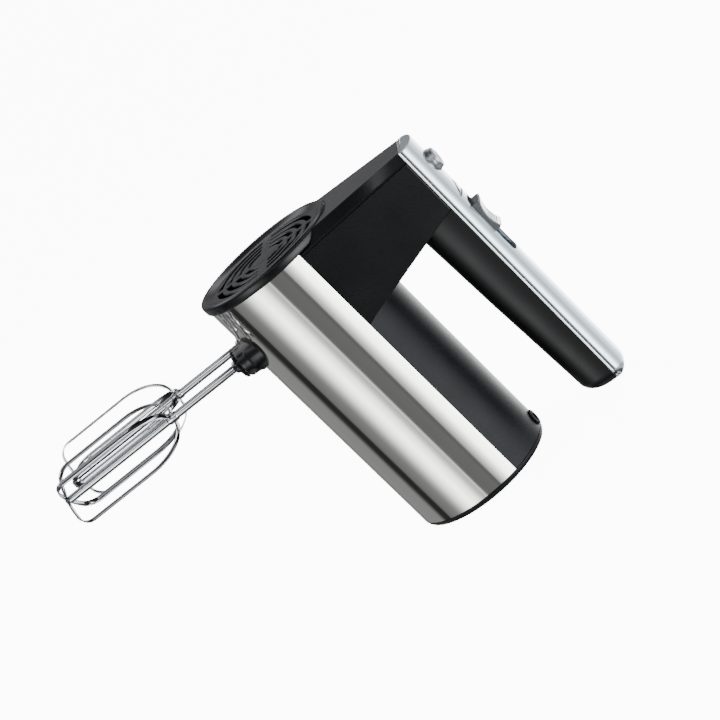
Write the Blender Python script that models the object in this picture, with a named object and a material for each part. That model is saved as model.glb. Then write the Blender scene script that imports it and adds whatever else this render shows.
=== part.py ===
"""Hand mixer that stands on its heel, as an assembly of separate solids.

All sizes below are in millimetres and degrees; add() scales every mesh to metres.
Frame: the heel pad's flat face is z = 0 with its centre at the origin. +Z runs up the body
to the front grille, -X is the way the beaters point, +X is the handle side, Y is left-right.
The cylindrical body and the handle lean: their axis moves LEAN along X for each unit of Z.
The drive (motor, worm, gears, spindles, beaters, ejector) is square to the frame.
"""
import math

import bmesh
import bpy
from mathutils import Matrix

MM = 0.001
GAP = 0.3                    # clearance between neighbouring pieces
FINE = 40                    # sides of a large round piece
MEDIUM = 16                  # sides of a shaft or a boss
COARSE = 10                  # sides of a small pin

# Body
BODY_RADIUS = 45.5           # outside of the steel sleeve
BODY_LENGTH = 190.9          # heel plane to the front of the grille rim
LEAN = -0.07                 # travel of the body's axis along X per unit of Z
STEEL_WALL = 0.9
STEEL_EDGE_ANGLE = 32.7      # sleeve's long edges, above the horizontal
SHELL_WALL = 2.2             # moulded plastic walls
HEEL_RIM = 4.5               # height of the heel cap's rim
PAD_PROUD = 0.4              # how far the rubber pad stands out of the heel cap
PAD_RADIUS = BODY_RADIUS - 14.5
PAD_THICK = 2.0
GLAND_RADIUS = 4.0
GLAND_Z = 10.3
GRILLE_RADIUS = BODY_RADIUS + 1.6
GRILLE_RIM = 6.2             # height of the grille's rim
GRILLE_DISC_RADIUS = BODY_RADIUS - 8.5
GRILLE_RECESS = 2.4
SPIGOT_RADIUS = BODY_RADIUS - SHELL_WALL - GAP
SPIGOT_LENGTH = 6.0
SLOT_WIDTH = 3.4
SLOT_RINGS = 4
SLOT_BAND = 7.0              # solid band across the grille
SLOT_SPOKE = 4.0

# Post between the body and the handle
POST_BACK_Z = BODY_LENGTH - 63.7     # rear edge of the post where it leaves the body
POST_BACK_SLOPE = 0.235      # forward lean of that edge per unit of height
POST_FRONT_Z = BODY_LENGTH - 1.5
BEZEL_DEPTH = 7.0
POST_HALF_LOW = BODY_RADIUS * math.cos(math.radians(STEEL_EDGE_ANGLE)) - 0.1
BEZEL_HALF_LOW = POST_HALF_LOW - 7.8         # half-width of the front face at the steel's edge

# Handle
SEAM_X = 101.0               # top of the grip and of the post
HALF_WIDTH = 17.1            # half-width at the seam
TRIM_HEIGHT = 1.6
TRIM_PROUD = 0.4
COVER_RISE = 7.4             # height of the arched cover
COVER_WALL = 1.6
GRIP_DEPTH_FRONT = 27.0      # seam to the underside, at the post
GRIP_DEPTH_BACK = 20.3       # the same at the free end
HANDLE_END_Z = 3.0
END_ROUND = 8.0
BEZEL_HALF_HIGH = HALF_WIDTH - 1.5

# Speed switch
SLOT_FRONT_Z = BODY_LENGTH - 48.9
SLOT_BACK_Z = SLOT_FRONT_Z - 42.0
SLOT_HALF = HALF_WIDTH - 8.1
SLOT_CORNER = 4.5
KNOB_FRONT_Z = SLOT_FRONT_Z - 5.0
KNOB_LENGTH = 20.5
KNOB_HALF = SLOT_HALF - 0.6
KNOB_HEIGHTS = (4.3, 1.7, 3.5)   # front, middle and rear edges, above the crest
STEM_LENGTH = 9.0
STEM_HALF = 2.2
SLIDE_FORWARD = SLOT_FRONT_Z - KNOB_FRONT_Z - 3.0
SLIDE_BACK = KNOB_FRONT_Z - KNOB_LENGTH - SLOT_BACK_Z - 3.0

# Marker on the cover
MARKER_APEX_Z = SLOT_FRONT_Z + 12.5
MARKER_BASE_Z = MARKER_APEX_Z - 8.7
MARKER_HALF = HALF_WIDTH - 7.1

# Drive
MOTOR_X = -6.0               # motor axis
SPINDLE_Z = BODY_LENGTH - 39.2       # plane of the two spindles
SPINDLE_SPACING = 37.0
WORM_PITCH_RADIUS = 4.5
GEAR_TEETH = 24
GEAR_WIDTH = 7.0
TOOTH_SHARE = 0.36           # tooth thickness as a share of the pitch
SHAFT_RADIUS = 3.0
BEARING_RADIUS = 8.0
STATOR_SIDE = 50.0
STATOR_BORE = 16.5
FRONT_BULKHEAD_Z = SPINDLE_Z - 38.7
STATOR_Z = (FRONT_BULKHEAD_Z - 55.0, FRONT_BULKHEAD_Z - 21.0)
COMMUTATOR_Z = (STATOR_Z[0] - 16.0, STATOR_Z[0] - 7.0)
CORE_RADIUS = 15.5
COMMUTATOR_RADIUS = 9.0
FAN_RADIUS = 27.0
FAN_BLADES = 7
FAN_Z = STATOR_Z[1] + 8.0
REAR_BULKHEAD_Z = STATOR_Z[0] - 28.0
BULKHEAD_THICK = 3.0
GEAR_FLOOR_X = -17.0         # top face of the chassis plate under the gears
GEAR_PLATE_X = 6.5           # underside of the plate above the gears
PLATE_THICK = 3.0

# Spindles, sockets and ejector
SPINDLE_RADIUS = 5.0
SPINDLE_BORE = 3.3
SPINDLE_TOP_X = 10.5
BOSS_RADIUS = 10.0
BOSS_END_X = -BODY_RADIUS - 14.1
COLLAR_RADIUS = 9.2
COLLAR_THICK = 2.2
EJECT_Z = SPINDLE_Z + 18.8
EJECT_TRAVEL = 5.0
BUTTON_RADIUS = 7.3
BUTTON_RIM_RADIUS = 6.6
BUTTON_PROUD = 3.9
ROD_RADIUS = 3.5
YOKE_X = 17.0
YOKE_THICK = 3.0
PIN_RADIUS = 2.6

# Beaters
BEATER_RADIUS = 20.8
BEATER_TIP_X = BOSS_END_X - 139.0
BEATER_SHOULDER_X = BOSS_END_X - 54.4    # where the strips leave the shaft
SHOULDER_LENGTH = 28.0
TIP_CORNER = 8.0
STRIP_WIDTH = 3.8
STRIP_THICK = 0.8
BEATER_SHAFT_RADIUS = 2.5
BEATER_TOP_X = -34.0

HALF_SPACING = SPINDLE_SPACING / 2
SCREW_AT = (HALF_SPACING + 5.0, SPINDLE_Z - HALF_SPACING - 1.3)   # the gearbox plate's screws
THRUST_Z = SPINDLE_Z + HALF_SPACING - 4.3              # rear face of the worm's end bearing block
SIDES = {"left": (-1, 45.0), "right": (1, 0.0)}    # side of Y, beater's rest angle
CREST_X = SEAM_X + GAP + TRIM_HEIGHT + GAP + COVER_RISE
COVER_X = SEAM_X + GAP + TRIM_HEIGHT + GAP
STEEL_Z = (HEEL_RIM + GAP, BODY_LENGTH - GRILLE_RIM - GAP)
EDGE_X = BODY_RADIUS * math.sin(math.radians(STEEL_EDGE_ANGLE))


# ---------------------------------------------------------------- mesh builders

def lathe(profile, axis="Z", centre=(0.0, 0.0), sides=MEDIUM):
    """Turn (radius, height) points about an axis; a profile off the axis closes into a ring."""
    bm = bmesh.new()
    rings = []
    for radius, height in profile:
        count = 1 if radius == 0 else sides
        ring = []
        for i in range(count):
            angle = 2 * math.pi * i / sides
            u = centre[0] + radius * math.cos(angle)
            v = centre[1] + radius * math.sin(angle)
            ring.append(bm.verts.new((u, v, height) if axis == "Z" else (height, u, v)))
        rings.append(ring)
    pairs = list(zip(rings, rings[1:]))
    if profile[0][0] > 0 and profile[-1][0] > 0:
        pairs.append((rings[-1], rings[0]))
    for low, high in pairs:
        for i in range(sides):
            corners = [low[i % len(low)], low[(i + 1) % len(low)],
                       high[(i + 1) % len(high)], high[i % len(high)]]
            unique = list(dict.fromkeys(corners))
            if len(unique) > 2:
                bm.faces.new(unique)
    return bm


def ring(inner, outer, low, high, axis="Z", centre=(0.0, 0.0), sides=MEDIUM):
    """Plain ring or, with no inner radius, a plain disc."""
    profile = [(outer, low), (outer, high), (inner, high), (inner, low)]
    if inner == 0:
        profile = [(0, low), (outer, low), (outer, high), (0, high)]
    return lathe(profile, axis, centre, sides)


def loft(sections):
    """Join closed outlines of 3-D points that have the same count, and cap both ends."""
    bm = bmesh.new()
    loops = [[bm.verts.new(point) for point in section] for section in sections]
    for low, high in zip(loops, loops[1:]):
        for i in range(len(low)):
            j = (i + 1) % len(low)
            bm.faces.new((low[i], low[j], high[j], high[i]))
    bm.faces.new(loops[0])
    bm.faces.new(loops[-1])
    return bm


def prism(outline, low, high, axis="Z"):
    """Extrude an outline of (x, y) points along Z or of (y, z) points along X."""
    def place(point, height):
        level = height(point) if callable(height) else height
        return (point[0], point[1], level) if axis == "Z" else (level, point[0], point[1])
    return loft([[place(p, low) for p in outline], [place(p, high) for p in outline]])


def box(x, y, z):
    """Block between pairs of limits."""
    return prism([(x[0], y[0]), (x[1], y[0]), (x[1], y[1]), (x[0], y[1])], z[0], z[1])


def arc(radius, start, end, steps, centre=(0.0, 0.0)):
    """Points on an arc; 0 degrees is -Y and 90 degrees is +X."""
    points = []
    for i in range(steps + 1):
        angle = math.radians(start + (end - start) * i / steps)
        points.append((centre[0] + radius * math.sin(angle), centre[1] - radius * math.cos(angle)))
    return points


def sector(inner, outer, start, end, steps):
    """Outline of a piece of a ring."""
    return arc(outer, start, end, steps) + arc(inner, end, start, steps)


def rounded_rectangle(half_u, low_v, high_v, corner, steps=4):
    """Outline of (u, v) points, symmetric about u = 0."""
    points = []
    centres = ((half_u - corner, low_v + corner, 270), (half_u - corner, high_v - corner, 0),
               (corner - half_u, high_v - corner, 90), (corner - half_u, low_v + corner, 180))
    for centre_u, centre_v, start in centres:
        for i in range(steps + 1):
            angle = math.radians(start + 90 * i / steps)
            points.append((centre_u + corner * math.cos(angle), centre_v + corner * math.sin(angle)))
    return points


def lean(bm):
    """Shear a mesh made about the upright axis onto the leaning one."""
    shear = Matrix(((1, 0, LEAN, 0), (0, 1, 0, 0), (0, 0, 1, 0), (0, 0, 0, 1)))
    bmesh.ops.transform(bm, matrix=shear, verts=bm.verts)
    return bm


# ---------------------------------------------------------------- objects

def material(name, color, roughness, metallic=0.0):
    """Principled material of one colour."""
    made = bpy.data.materials.new(name)
    made.use_nodes = True
    shader = made.node_tree.nodes["Principled BSDF"]
    shader.inputs["Base Color"].default_value = (*color, 1.0)
    shader.inputs["Roughness"].default_value = roughness
    shader.inputs["Metallic"].default_value = metallic
    made.diffuse_color = (*color, 1.0)
    return made


def make_materials():
    """Every finish that the mixer has."""
    return {
        "black": material("black_plastic", (0.022, 0.024, 0.026), 0.42),
        "grip": material("grip_plastic", (0.020, 0.021, 0.023), 0.5),
        "bezel": material("bezel_plastic", (0.055, 0.058, 0.06), 0.45),
        "silver": material("silver_paint", (0.66, 0.69, 0.71), 0.28, 0.6),
        "steel": material("brushed_steel", (0.62, 0.61, 0.59), 0.26, 1.0),
        "chrome": material("chrome", (0.82, 0.83, 0.85), 0.06, 1.0),
        "rubber": material("rubber", (0.03, 0.03, 0.03), 0.8),
        "frame": material("inner_plastic", (0.09, 0.09, 0.1), 0.6),
        "iron": material("laminated_iron", (0.32, 0.32, 0.33), 0.45, 1.0),
        "copper": material("copper", (0.72, 0.32, 0.16), 0.35, 1.0),
        "bronze": material("bronze", (0.6, 0.42, 0.22), 0.4, 1.0),
        "carbon": material("carbon", (0.03, 0.03, 0.032), 0.55),
        "nylon": material("nylon", (0.82, 0.8, 0.72), 0.45),
        "spring": material("spring_steel", (0.5, 0.5, 0.5), 0.3, 1.0),
        "board": material("circuit_board", (0.05, 0.2, 0.09), 0.5),
    }


def add(name, bm, finish=None, parent=None):
    """Turn a mesh in millimetres into an object in metres, faces out."""
    bmesh.ops.recalc_face_normals(bm, faces=bm.faces)
    bmesh.ops.scale(bm, vec=(MM, MM, MM), verts=bm.verts)
    mesh = bpy.data.meshes.new(name)
    bm.to_mesh(mesh)
    bm.free()
    mesh.shade_smooth()
    mesh.set_sharp_from_angle(angle=math.radians(35))
    made = bpy.data.objects.new(name, mesh)
    bpy.context.scene.collection.objects.link(made)
    if finish:
        mesh.materials.append(finish)
    if parent:
        made.parent = parent
        made.matrix_parent_inverse = parent.matrix_world.inverted()
    return made


def boolean(target, operation, meshes):
    """Cut from or join to an object with one hidden helper, made of solids that stay apart."""
    together = bmesh.new()
    for bm in meshes:
        bmesh.ops.recalc_face_normals(bm, faces=bm.faces)
        copies = {vert: together.verts.new(vert.co) for vert in bm.verts}
        for face in bm.faces:
            together.faces.new([copies[vert] for vert in face.verts])
        bm.free()
    helper = add("helper_" + target.name, together)
    helper.hide_render = True
    helper.hide_set(True)
    helper.display_type = "WIRE"
    modifier = target.modifiers.new(operation.lower(), "BOOLEAN")
    modifier.operation = operation
    modifier.solver = "EXACT"
    modifier.object = helper
    facets = target.modifiers.new("facets", "TRIANGULATE")
    facets.min_vertices = 5
    return target


def cut(target, *meshes):
    """Boolean difference."""
    return boolean(target, "DIFFERENCE", meshes)


def join(target, *meshes):
    """Boolean union."""
    return boolean(target, "UNION", meshes)


def pivot(name, x, y, z):
    """Empty on a joint's axis, which carries the moving pieces."""
    made = bpy.data.objects.new(name, None)
    made.location = (x * MM, y * MM, z * MM)
    made.empty_display_size = 0.01
    bpy.context.scene.collection.objects.link(made)
    bpy.context.view_layer.update()
    return made


# ---------------------------------------------------------------- shared outlines

def post_back(x):
    """Z of the post's rear edge at a height above the body's axis."""
    return POST_BACK_Z + POST_BACK_SLOPE * (x - EDGE_X)


def post_half(x):
    """Half-width of the post's side faces at a height."""
    share = (x - EDGE_X) / (SEAM_X - EDGE_X)
    return POST_HALF_LOW + (HALF_WIDTH - POST_HALF_LOW) * share


def bezel_half(x):
    """Half-width of the post's front face at a height."""
    share = (x - EDGE_X) / (SEAM_X - EDGE_X)
    return BEZEL_HALF_LOW + (BEZEL_HALF_HIGH - BEZEL_HALF_LOW) * share


def end_share(z):
    """How full the handle is near its rounded free end, from 0 to 1."""
    reach = min(1.0, max(0.0, (z - HANDLE_END_Z) / END_ROUND))
    return math.sqrt(1 - (1 - reach) ** 2)


def handle_half(z):
    """Half-width of the handle at the seam."""
    return HALF_WIDTH * (0.72 + 0.28 * end_share(z))


def end_stations():
    """Z of the sections that make the handle's rounded end."""
    return [HANDLE_END_Z + END_ROUND * share for share in (0.0, 0.06, 0.2, 0.45, 1.0)]


def seam_outline(offset, front_z):
    """The handle's plan at the seam, as (y, z) points."""
    side = [(handle_half(z) + offset, z) for z in end_stations()]
    side[0] = (side[0][0] - offset, HANDLE_END_Z - offset)
    right = side + [(HALF_WIDTH + offset, front_z)]
    return right + [(-y, z) for y, z in reversed(right)]


def grip_section(z, depth, wall=0.0, top=0.0, front=None):
    """U-shaped section of the grip, from one seam to the other."""
    half = handle_half(z) - wall
    reach = depth * (0.55 + 0.45 * end_share(z)) - wall
    points = []
    for i in range(17):
        angle = math.pi * i / 16
        across = math.copysign(abs(math.cos(angle)) ** 0.72, math.cos(angle))
        down = math.sin(angle) ** 0.72
        x = SEAM_X - reach * down
        points.append((x, half * across, front(x) if front else z))
    if top:
        points[0] = (SEAM_X + top, half, points[0][2])
        points[-1] = (SEAM_X + top, -half, points[-1][2])
    return points


def arch_section(z, wall=0.0, drop=0.0):
    """Arched section of the handle's cover."""
    half = handle_half(z) - wall
    rise = COVER_RISE * (0.3 + 0.7 * end_share(z)) - wall
    points = [(COVER_X - drop, half, z), (COVER_X - drop, -half, z)]
    for i in range(16):
        angle = math.pi * (1 - i / 15)
        points.append((COVER_X + rise * math.sin(angle), half * math.cos(angle), z))
    return points[:1] + points[1:] if drop else points[2:]


# ---------------------------------------------------------------- casing

def make_grille(finish):
    """Front cap: a raised rim around a recessed disc with rings of air slots."""
    top = BODY_LENGTH
    base = top - GRILLE_RIM
    face = top - GRILLE_RECESS
    profile = [(0, face - 2.0), (GRILLE_DISC_RADIUS - 1, face - 2.0), (SPIGOT_RADIUS - SHELL_WALL, base),
               (SPIGOT_RADIUS - SHELL_WALL, base - SPIGOT_LENGTH), (SPIGOT_RADIUS, base - SPIGOT_LENGTH),
               (SPIGOT_RADIUS, base), (GRILLE_RADIUS - 0.8, base), (GRILLE_RADIUS, base + 0.8),
               (GRILLE_RADIUS, top - 1.6), (GRILLE_RADIUS - 1.4, top), (GRILLE_RADIUS - 3.4, top - 0.2),
               (GRILLE_DISC_RADIUS, face), (0, face)]
    grille = add("front_grille", lean(lathe(profile, sides=FINE)), finish["black"])
    pitch = (GRILLE_DISC_RADIUS - 2.0) / (SLOT_RINGS + 1)
    slots = []
    for i in range(SLOT_RINGS):
        outer = GRILLE_DISC_RADIUS - 1.4 - pitch * i
        inner = outer - SLOT_WIDTH
        band = math.degrees(math.asin(SLOT_BAND / 2 / inner))
        spoke = math.degrees(math.asin(SLOT_SPOKE / 2 / inner))
        for quarter in range(4):
            near, far = (band, spoke) if quarter % 2 == 0 else (spoke, band)
            steps = 6 - i
            outline = sector(inner, outer, 90 * quarter + near, 90 * quarter + 90 - far, steps)
            slots.append(lean(prism(outline, face - 3.0, face + 1.0)))
    return cut(grille, *slots)


def make_steel_sleeve(finish):
    """Steel sheet round the sides and underside of the body."""
    outline = sector(BODY_RADIUS - STEEL_WALL, BODY_RADIUS,
                     -180 - STEEL_EDGE_ANGLE, STEEL_EDGE_ANGLE, 40)
    sleeve = add("steel_sleeve", lean(prism(outline, *STEEL_Z)), finish["steel"])
    holes = [ring(0, BOSS_RADIUS + GAP, BOSS_END_X, -30.0, "X", (side * HALF_SPACING, SPINDLE_Z))
             for side, _ in SIDES.values()]
    return cut(sleeve, *holes)


def make_rear_shell(finish):
    """Moulded shell along the top of the body, from the heel to the post."""
    edge = STEEL_EDGE_ANGLE + 0.5
    outline = sector(BODY_RADIUS - SHELL_WALL, BODY_RADIUS, edge, 180 - edge, 20)
    shell = prism(outline, STEEL_Z[0], lambda p: post_back(p[0]) - GAP)
    shell = add("rear_shell", lean(shell), finish["black"])
    return cut(shell, ring(0, GLAND_RADIUS + GAP, 30.0, 60.0, "X", (0.0, GLAND_Z)))


def make_heel(finish):
    """Rear cap with a ring of air slots, its rubber pad and the gland for the cord."""
    face = PAD_PROUD
    step = HEEL_RIM + SPIGOT_LENGTH
    spigot = BODY_RADIUS - SHELL_WALL - GAP
    profile = [(0, PAD_THICK + GAP), (PAD_RADIUS + GAP, PAD_THICK + GAP), (PAD_RADIUS + GAP, face),
               (BODY_RADIUS - 2.4, face), (BODY_RADIUS - 0.6, face + 1.4), (BODY_RADIUS, HEEL_RIM),
               (spigot, HEEL_RIM), (spigot, step), (spigot - SHELL_WALL, step),
               (spigot - SHELL_WALL, HEEL_RIM), (0, HEEL_RIM)]
    cap = add("heel_cap", lean(lathe(profile, sides=FINE)), finish["black"])
    slots = []
    for i in range(6):
        outline = sector(PAD_RADIUS + 3, spigot - SHELL_WALL - 1, 60 * i + 8, 60 * i + 52, 4)
        slots.append(lean(prism(outline, -1.0, HEEL_RIM + 1.0)))
    cut(cap, ring(0, GLAND_RADIUS + GAP, 30.0, 60.0, "X", (0.0, GLAND_Z)), *slots)
    add("heel_pad", ring(0, PAD_RADIUS, 0.0, PAD_THICK, sides=FINE), finish["rubber"])
    top, bore = BODY_RADIUS, GLAND_RADIUS - 1.2
    gland = [(GLAND_RADIUS, top - 4.0), (GLAND_RADIUS, top + GAP), (GLAND_RADIUS + 1.4, top + GAP),
             (GLAND_RADIUS + 1.0, top + 1.3), (bore, top + 1.3), (bore, top - 4.0)]
    add("cord_gland", lean(lathe(gland, "X", (0.0, GLAND_Z))), finish["rubber"])


def make_post(finish):
    """Column inside the post, its two side cheeks and the front bezel."""
    def level(x, inset):
        half = post_half(x) - SHELL_WALL - GAP - inset
        low = post_back(x) + inset
        high = BODY_LENGTH - GRILLE_RIM - SPIGOT_LENGTH - GAP - inset
        return [(x, half, low), (x, half, high), (x, -half, high), (x, -half, low)]

    def cheek(x, side):
        outer = post_half(x)
        low, high = post_back(x), POST_FRONT_Z - BEZEL_DEPTH - GAP
        return [(x, side * outer, low), (x, side * outer, high),
                (x, side * (outer - SHELL_WALL), high), (x, side * (outer - SHELL_WALL), low)]

    def bezel(x):
        back, front = POST_FRONT_Z - BEZEL_DEPTH, POST_FRONT_Z
        outer = [(x, post_half(x), back), (x, bezel_half(x), front)]
        inner = [(x, post_half(x) - SHELL_WALL, back), (x, bezel_half(x) - 1.4, front - SHELL_WALL)]
        mirror = [[(p[0], -p[1], p[2]) for p in pair] for pair in (outer, inner)]
        return outer + mirror[0][::-1] + mirror[1] + inner[::-1]

    low, high = EDGE_X + GAP, SEAM_X
    column = add("post_frame", lean(loft([level(low, 0.0), level(high - 3.0, 0.0)])), finish["frame"])
    cut(column, lean(loft([level(low - 5, SHELL_WALL), level(high + 5, SHELL_WALL)])))
    shelf_x = high - 26.0
    shelf_half = post_half(shelf_x) - SHELL_WALL - GAP - 1.0
    shelf_z = (post_back(shelf_x) + 1.0, BODY_LENGTH - GRILLE_RIM - SPIGOT_LENGTH - 1.0)
    shelf = lean(box((shelf_x - 2.0, shelf_x), (-shelf_half, shelf_half), shelf_z))
    join(column, shelf)
    cut(column, ring(0, ROD_RADIUS + GAP + 0.1, 40.0, 80.0, "X", (0.0, EJECT_Z)))
    for name, side in (("left_cheek", -1), ("right_cheek", 1)):
        add(name, lean(loft([cheek(low, side), cheek(high, side)])), finish["black"])
    front = add("front_bezel", lean(loft([bezel(low), bezel(high)])), finish["bezel"])
    wide, narrow = GRILLE_RADIUS + GAP, SPIGOT_RADIUS + GAP
    rim = [(0, STEEL_Z[1] - 9.0), (narrow, STEEL_Z[1] - 9.0), (narrow, STEEL_Z[1]), (wide, STEEL_Z[1]),
           (wide, BODY_LENGTH + 5.0), (0, BODY_LENGTH + 5.0)]
    cut(front, lean(lathe(rim, sides=FINE)))


def make_handle(finish):
    """Grip, arched cover, the bright strip between them and the marker in the cover."""
    stations = end_stations() + [HANDLE_END_Z + 60.0]
    run = POST_BACK_Z - HANDLE_END_Z

    def depth(z):
        return GRIP_DEPTH_BACK + (GRIP_DEPTH_FRONT - GRIP_DEPTH_BACK) * (z - HANDLE_END_Z) / run

    def front(x):
        return post_back(x) - GAP

    outer = [grip_section(z, depth(z)) for z in stations]
    outer.append(grip_section(POST_BACK_Z, GRIP_DEPTH_FRONT, front=front))
    inner = [grip_section(z + SHELL_WALL, depth(z), SHELL_WALL, 3.0) for z in stations]
    inner.append(grip_section(POST_BACK_Z + 40.0, GRIP_DEPTH_FRONT, SHELL_WALL, 3.0))
    grip = add("grip_shell", lean(loft(outer)), finish["grip"])
    cut(grip, lean(loft(inner)))

    strip = prism(seam_outline(TRIM_PROUD, POST_FRONT_Z), SEAM_X + GAP, SEAM_X + GAP + TRIM_HEIGHT, "X")
    strip = add("handle_trim", lean(strip), finish["chrome"])
    hollow = rounded_rectangle(HALF_WIDTH - 2.4, HANDLE_END_Z + 3.0, POST_FRONT_Z - 3.0, 4.0)
    cut(strip, lean(prism(hollow, SEAM_X - 2.0, SEAM_X + 6.0, "X")))

    stations = end_stations() + [POST_FRONT_Z]
    cover = add("handle_cover", lean(loft([arch_section(z) for z in stations])), finish["silver"])
    inner_z = [HANDLE_END_Z + END_ROUND * 0.45, HANDLE_END_Z + END_ROUND, POST_FRONT_Z - COVER_WALL]
    cut(cover, lean(loft([arch_section(z, COVER_WALL, 2.0) for z in inner_z])))
    cut(cover, lean(prism(slot_outline(0.0), SEAM_X, CREST_X + 4.0, "X")),
        lean(prism(marker_outline(GAP), SEAM_X, CREST_X + 4.0, "X")),
        ring(0, BUTTON_RADIUS + GAP + 0.1, 80.0, 120.0, "X", (0.0, EJECT_Z)))

    marker = add("marker_lens", lean(loft([marker_top(-1.2), marker_top(0.1)])), finish["silver"])
    return marker


def slot_outline(inset):
    """Plan of the speed switch's slot, as (y, z) points."""
    return rounded_rectangle(SLOT_HALF - inset, SLOT_BACK_Z + inset, SLOT_FRONT_Z - inset,
                             SLOT_CORNER - inset)


def marker_outline(grow):
    """Triangle that points to the front, as (y, z) points."""
    middle = (MARKER_APEX_Z + 2 * MARKER_BASE_Z) / 3
    corners = ((0.0, MARKER_APEX_Z), (-MARKER_HALF, MARKER_BASE_Z), (0.0, MARKER_BASE_Z - 0.8),
               (MARKER_HALF, MARKER_BASE_Z))
    scale = 1 + grow / 3.0
    return [(y * scale, middle + (z - middle) * scale) for y, z in corners]


def marker_top(offset):
    """The marker's outline laid on the arched cover, as 3-D points."""
    points = []
    for y, z in marker_outline(0.0):
        share = math.sqrt(1 - (y / HALF_WIDTH) ** 2)
        points.append((COVER_X + COVER_RISE * share + offset, y, z))
    return points


def make_speed_switch(finish):
    """Knob in its track, the carrier under it, the switch block and the control board."""
    knob_pivot = pivot("slider_slide", CREST_X + LEAN * KNOB_FRONT_Z, 0.0, KNOB_FRONT_Z)
    track_x = CREST_X - 6.3
    track_half = 12.0 / 15.5 * (HALF_WIDTH - COVER_WALL)
    track = rounded_rectangle(track_half, SLOT_BACK_Z - 3.0, SLOT_FRONT_Z + 3.0, SLOT_CORNER)
    track = add("slider_track", lean(prism(track, track_x, track_x + 1.8, "X")), finish["bezel"])
    stem_front = KNOB_FRONT_Z - 6.0
    stem_back = stem_front - STEM_LENGTH
    window = ((track_x - 1, track_x + 4), (-STEM_HALF - GAP, STEM_HALF + GAP),
              (stem_back - SLIDE_BACK - GAP, stem_front + SLIDE_FORWARD + GAP))
    cut(track, lean(box(*window)))

    base = track_x + 1.8 + GAP
    back = KNOB_FRONT_Z - KNOB_LENGTH
    front_top, middle_top, back_top = (CREST_X + height for height in KNOB_HEIGHTS)
    outline = [(base, KNOB_FRONT_Z), (front_top - 0.6, KNOB_FRONT_Z), (front_top, KNOB_FRONT_Z - 0.8)]
    for i in range(1, 8):
        share = i / 8
        line = front_top + (back_top - front_top) * share
        sag = (front_top + back_top) / 2 - middle_top
        outline.append((line - sag * math.sin(math.pi * share) ** 0.8,
                        KNOB_FRONT_Z - 0.8 - (KNOB_LENGTH - 1.6) * share))
    outline += [(back_top, back + 0.8), (back_top - 0.6, back), (base, back)]
    knob = loft([[(x, y, z) for x, z in outline] for y in (-KNOB_HALF, KNOB_HALF)])
    knob = add("speed_slider", lean(knob), finish["bezel"], knob_pivot)
    join(knob, lean(box((track_x - 7.0, base + 1.0), (-STEM_HALF, STEM_HALF), (stem_back, stem_front))))

    carrier_x = (track_x - 6.5, track_x - GAP)
    carrier = lean(box(carrier_x, (2.0 - SLOT_HALF, SLOT_HALF - 2.0), (stem_back - 3.0, stem_front + 3.0)))
    carrier = add("slider_carrier", carrier, finish["nylon"], knob_pivot)
    cut(carrier, lean(box((track_x - 9.0, track_x + 2.0), (-STEM_HALF - GAP, STEM_HALF + GAP),
                          (stem_back - GAP, stem_front + GAP))))
    block_x = (SEAM_X - 13.5, carrier_x[0] - 2 * GAP)
    block = lean(box(block_x, (1.0 - SLOT_HALF, SLOT_HALF - 1.0), (SLOT_BACK_Z - 4.0, SLOT_FRONT_Z - 2.0)))
    add("switch_block", block, finish["frame"])
    board = lean(box((block_x[0] - 2.5, block_x[0] - 0.9), (-SLOT_HALF - 1.0, SLOT_HALF + 1.0),
                     (SLOT_BACK_Z - 60.0, SLOT_FRONT_Z - 8.0)))
    add("control_board", board, finish["board"])


# ---------------------------------------------------------------- chassis and motor

def bulkhead(low, thick, top_x):
    """Wall across the body, flat along its upper edge."""
    radius = SPIGOT_RADIUS
    angle = math.degrees(math.asin(top_x / radius))
    return lean(prism(arc(radius, -180 - angle, angle, 32), low, low + thick))


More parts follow.
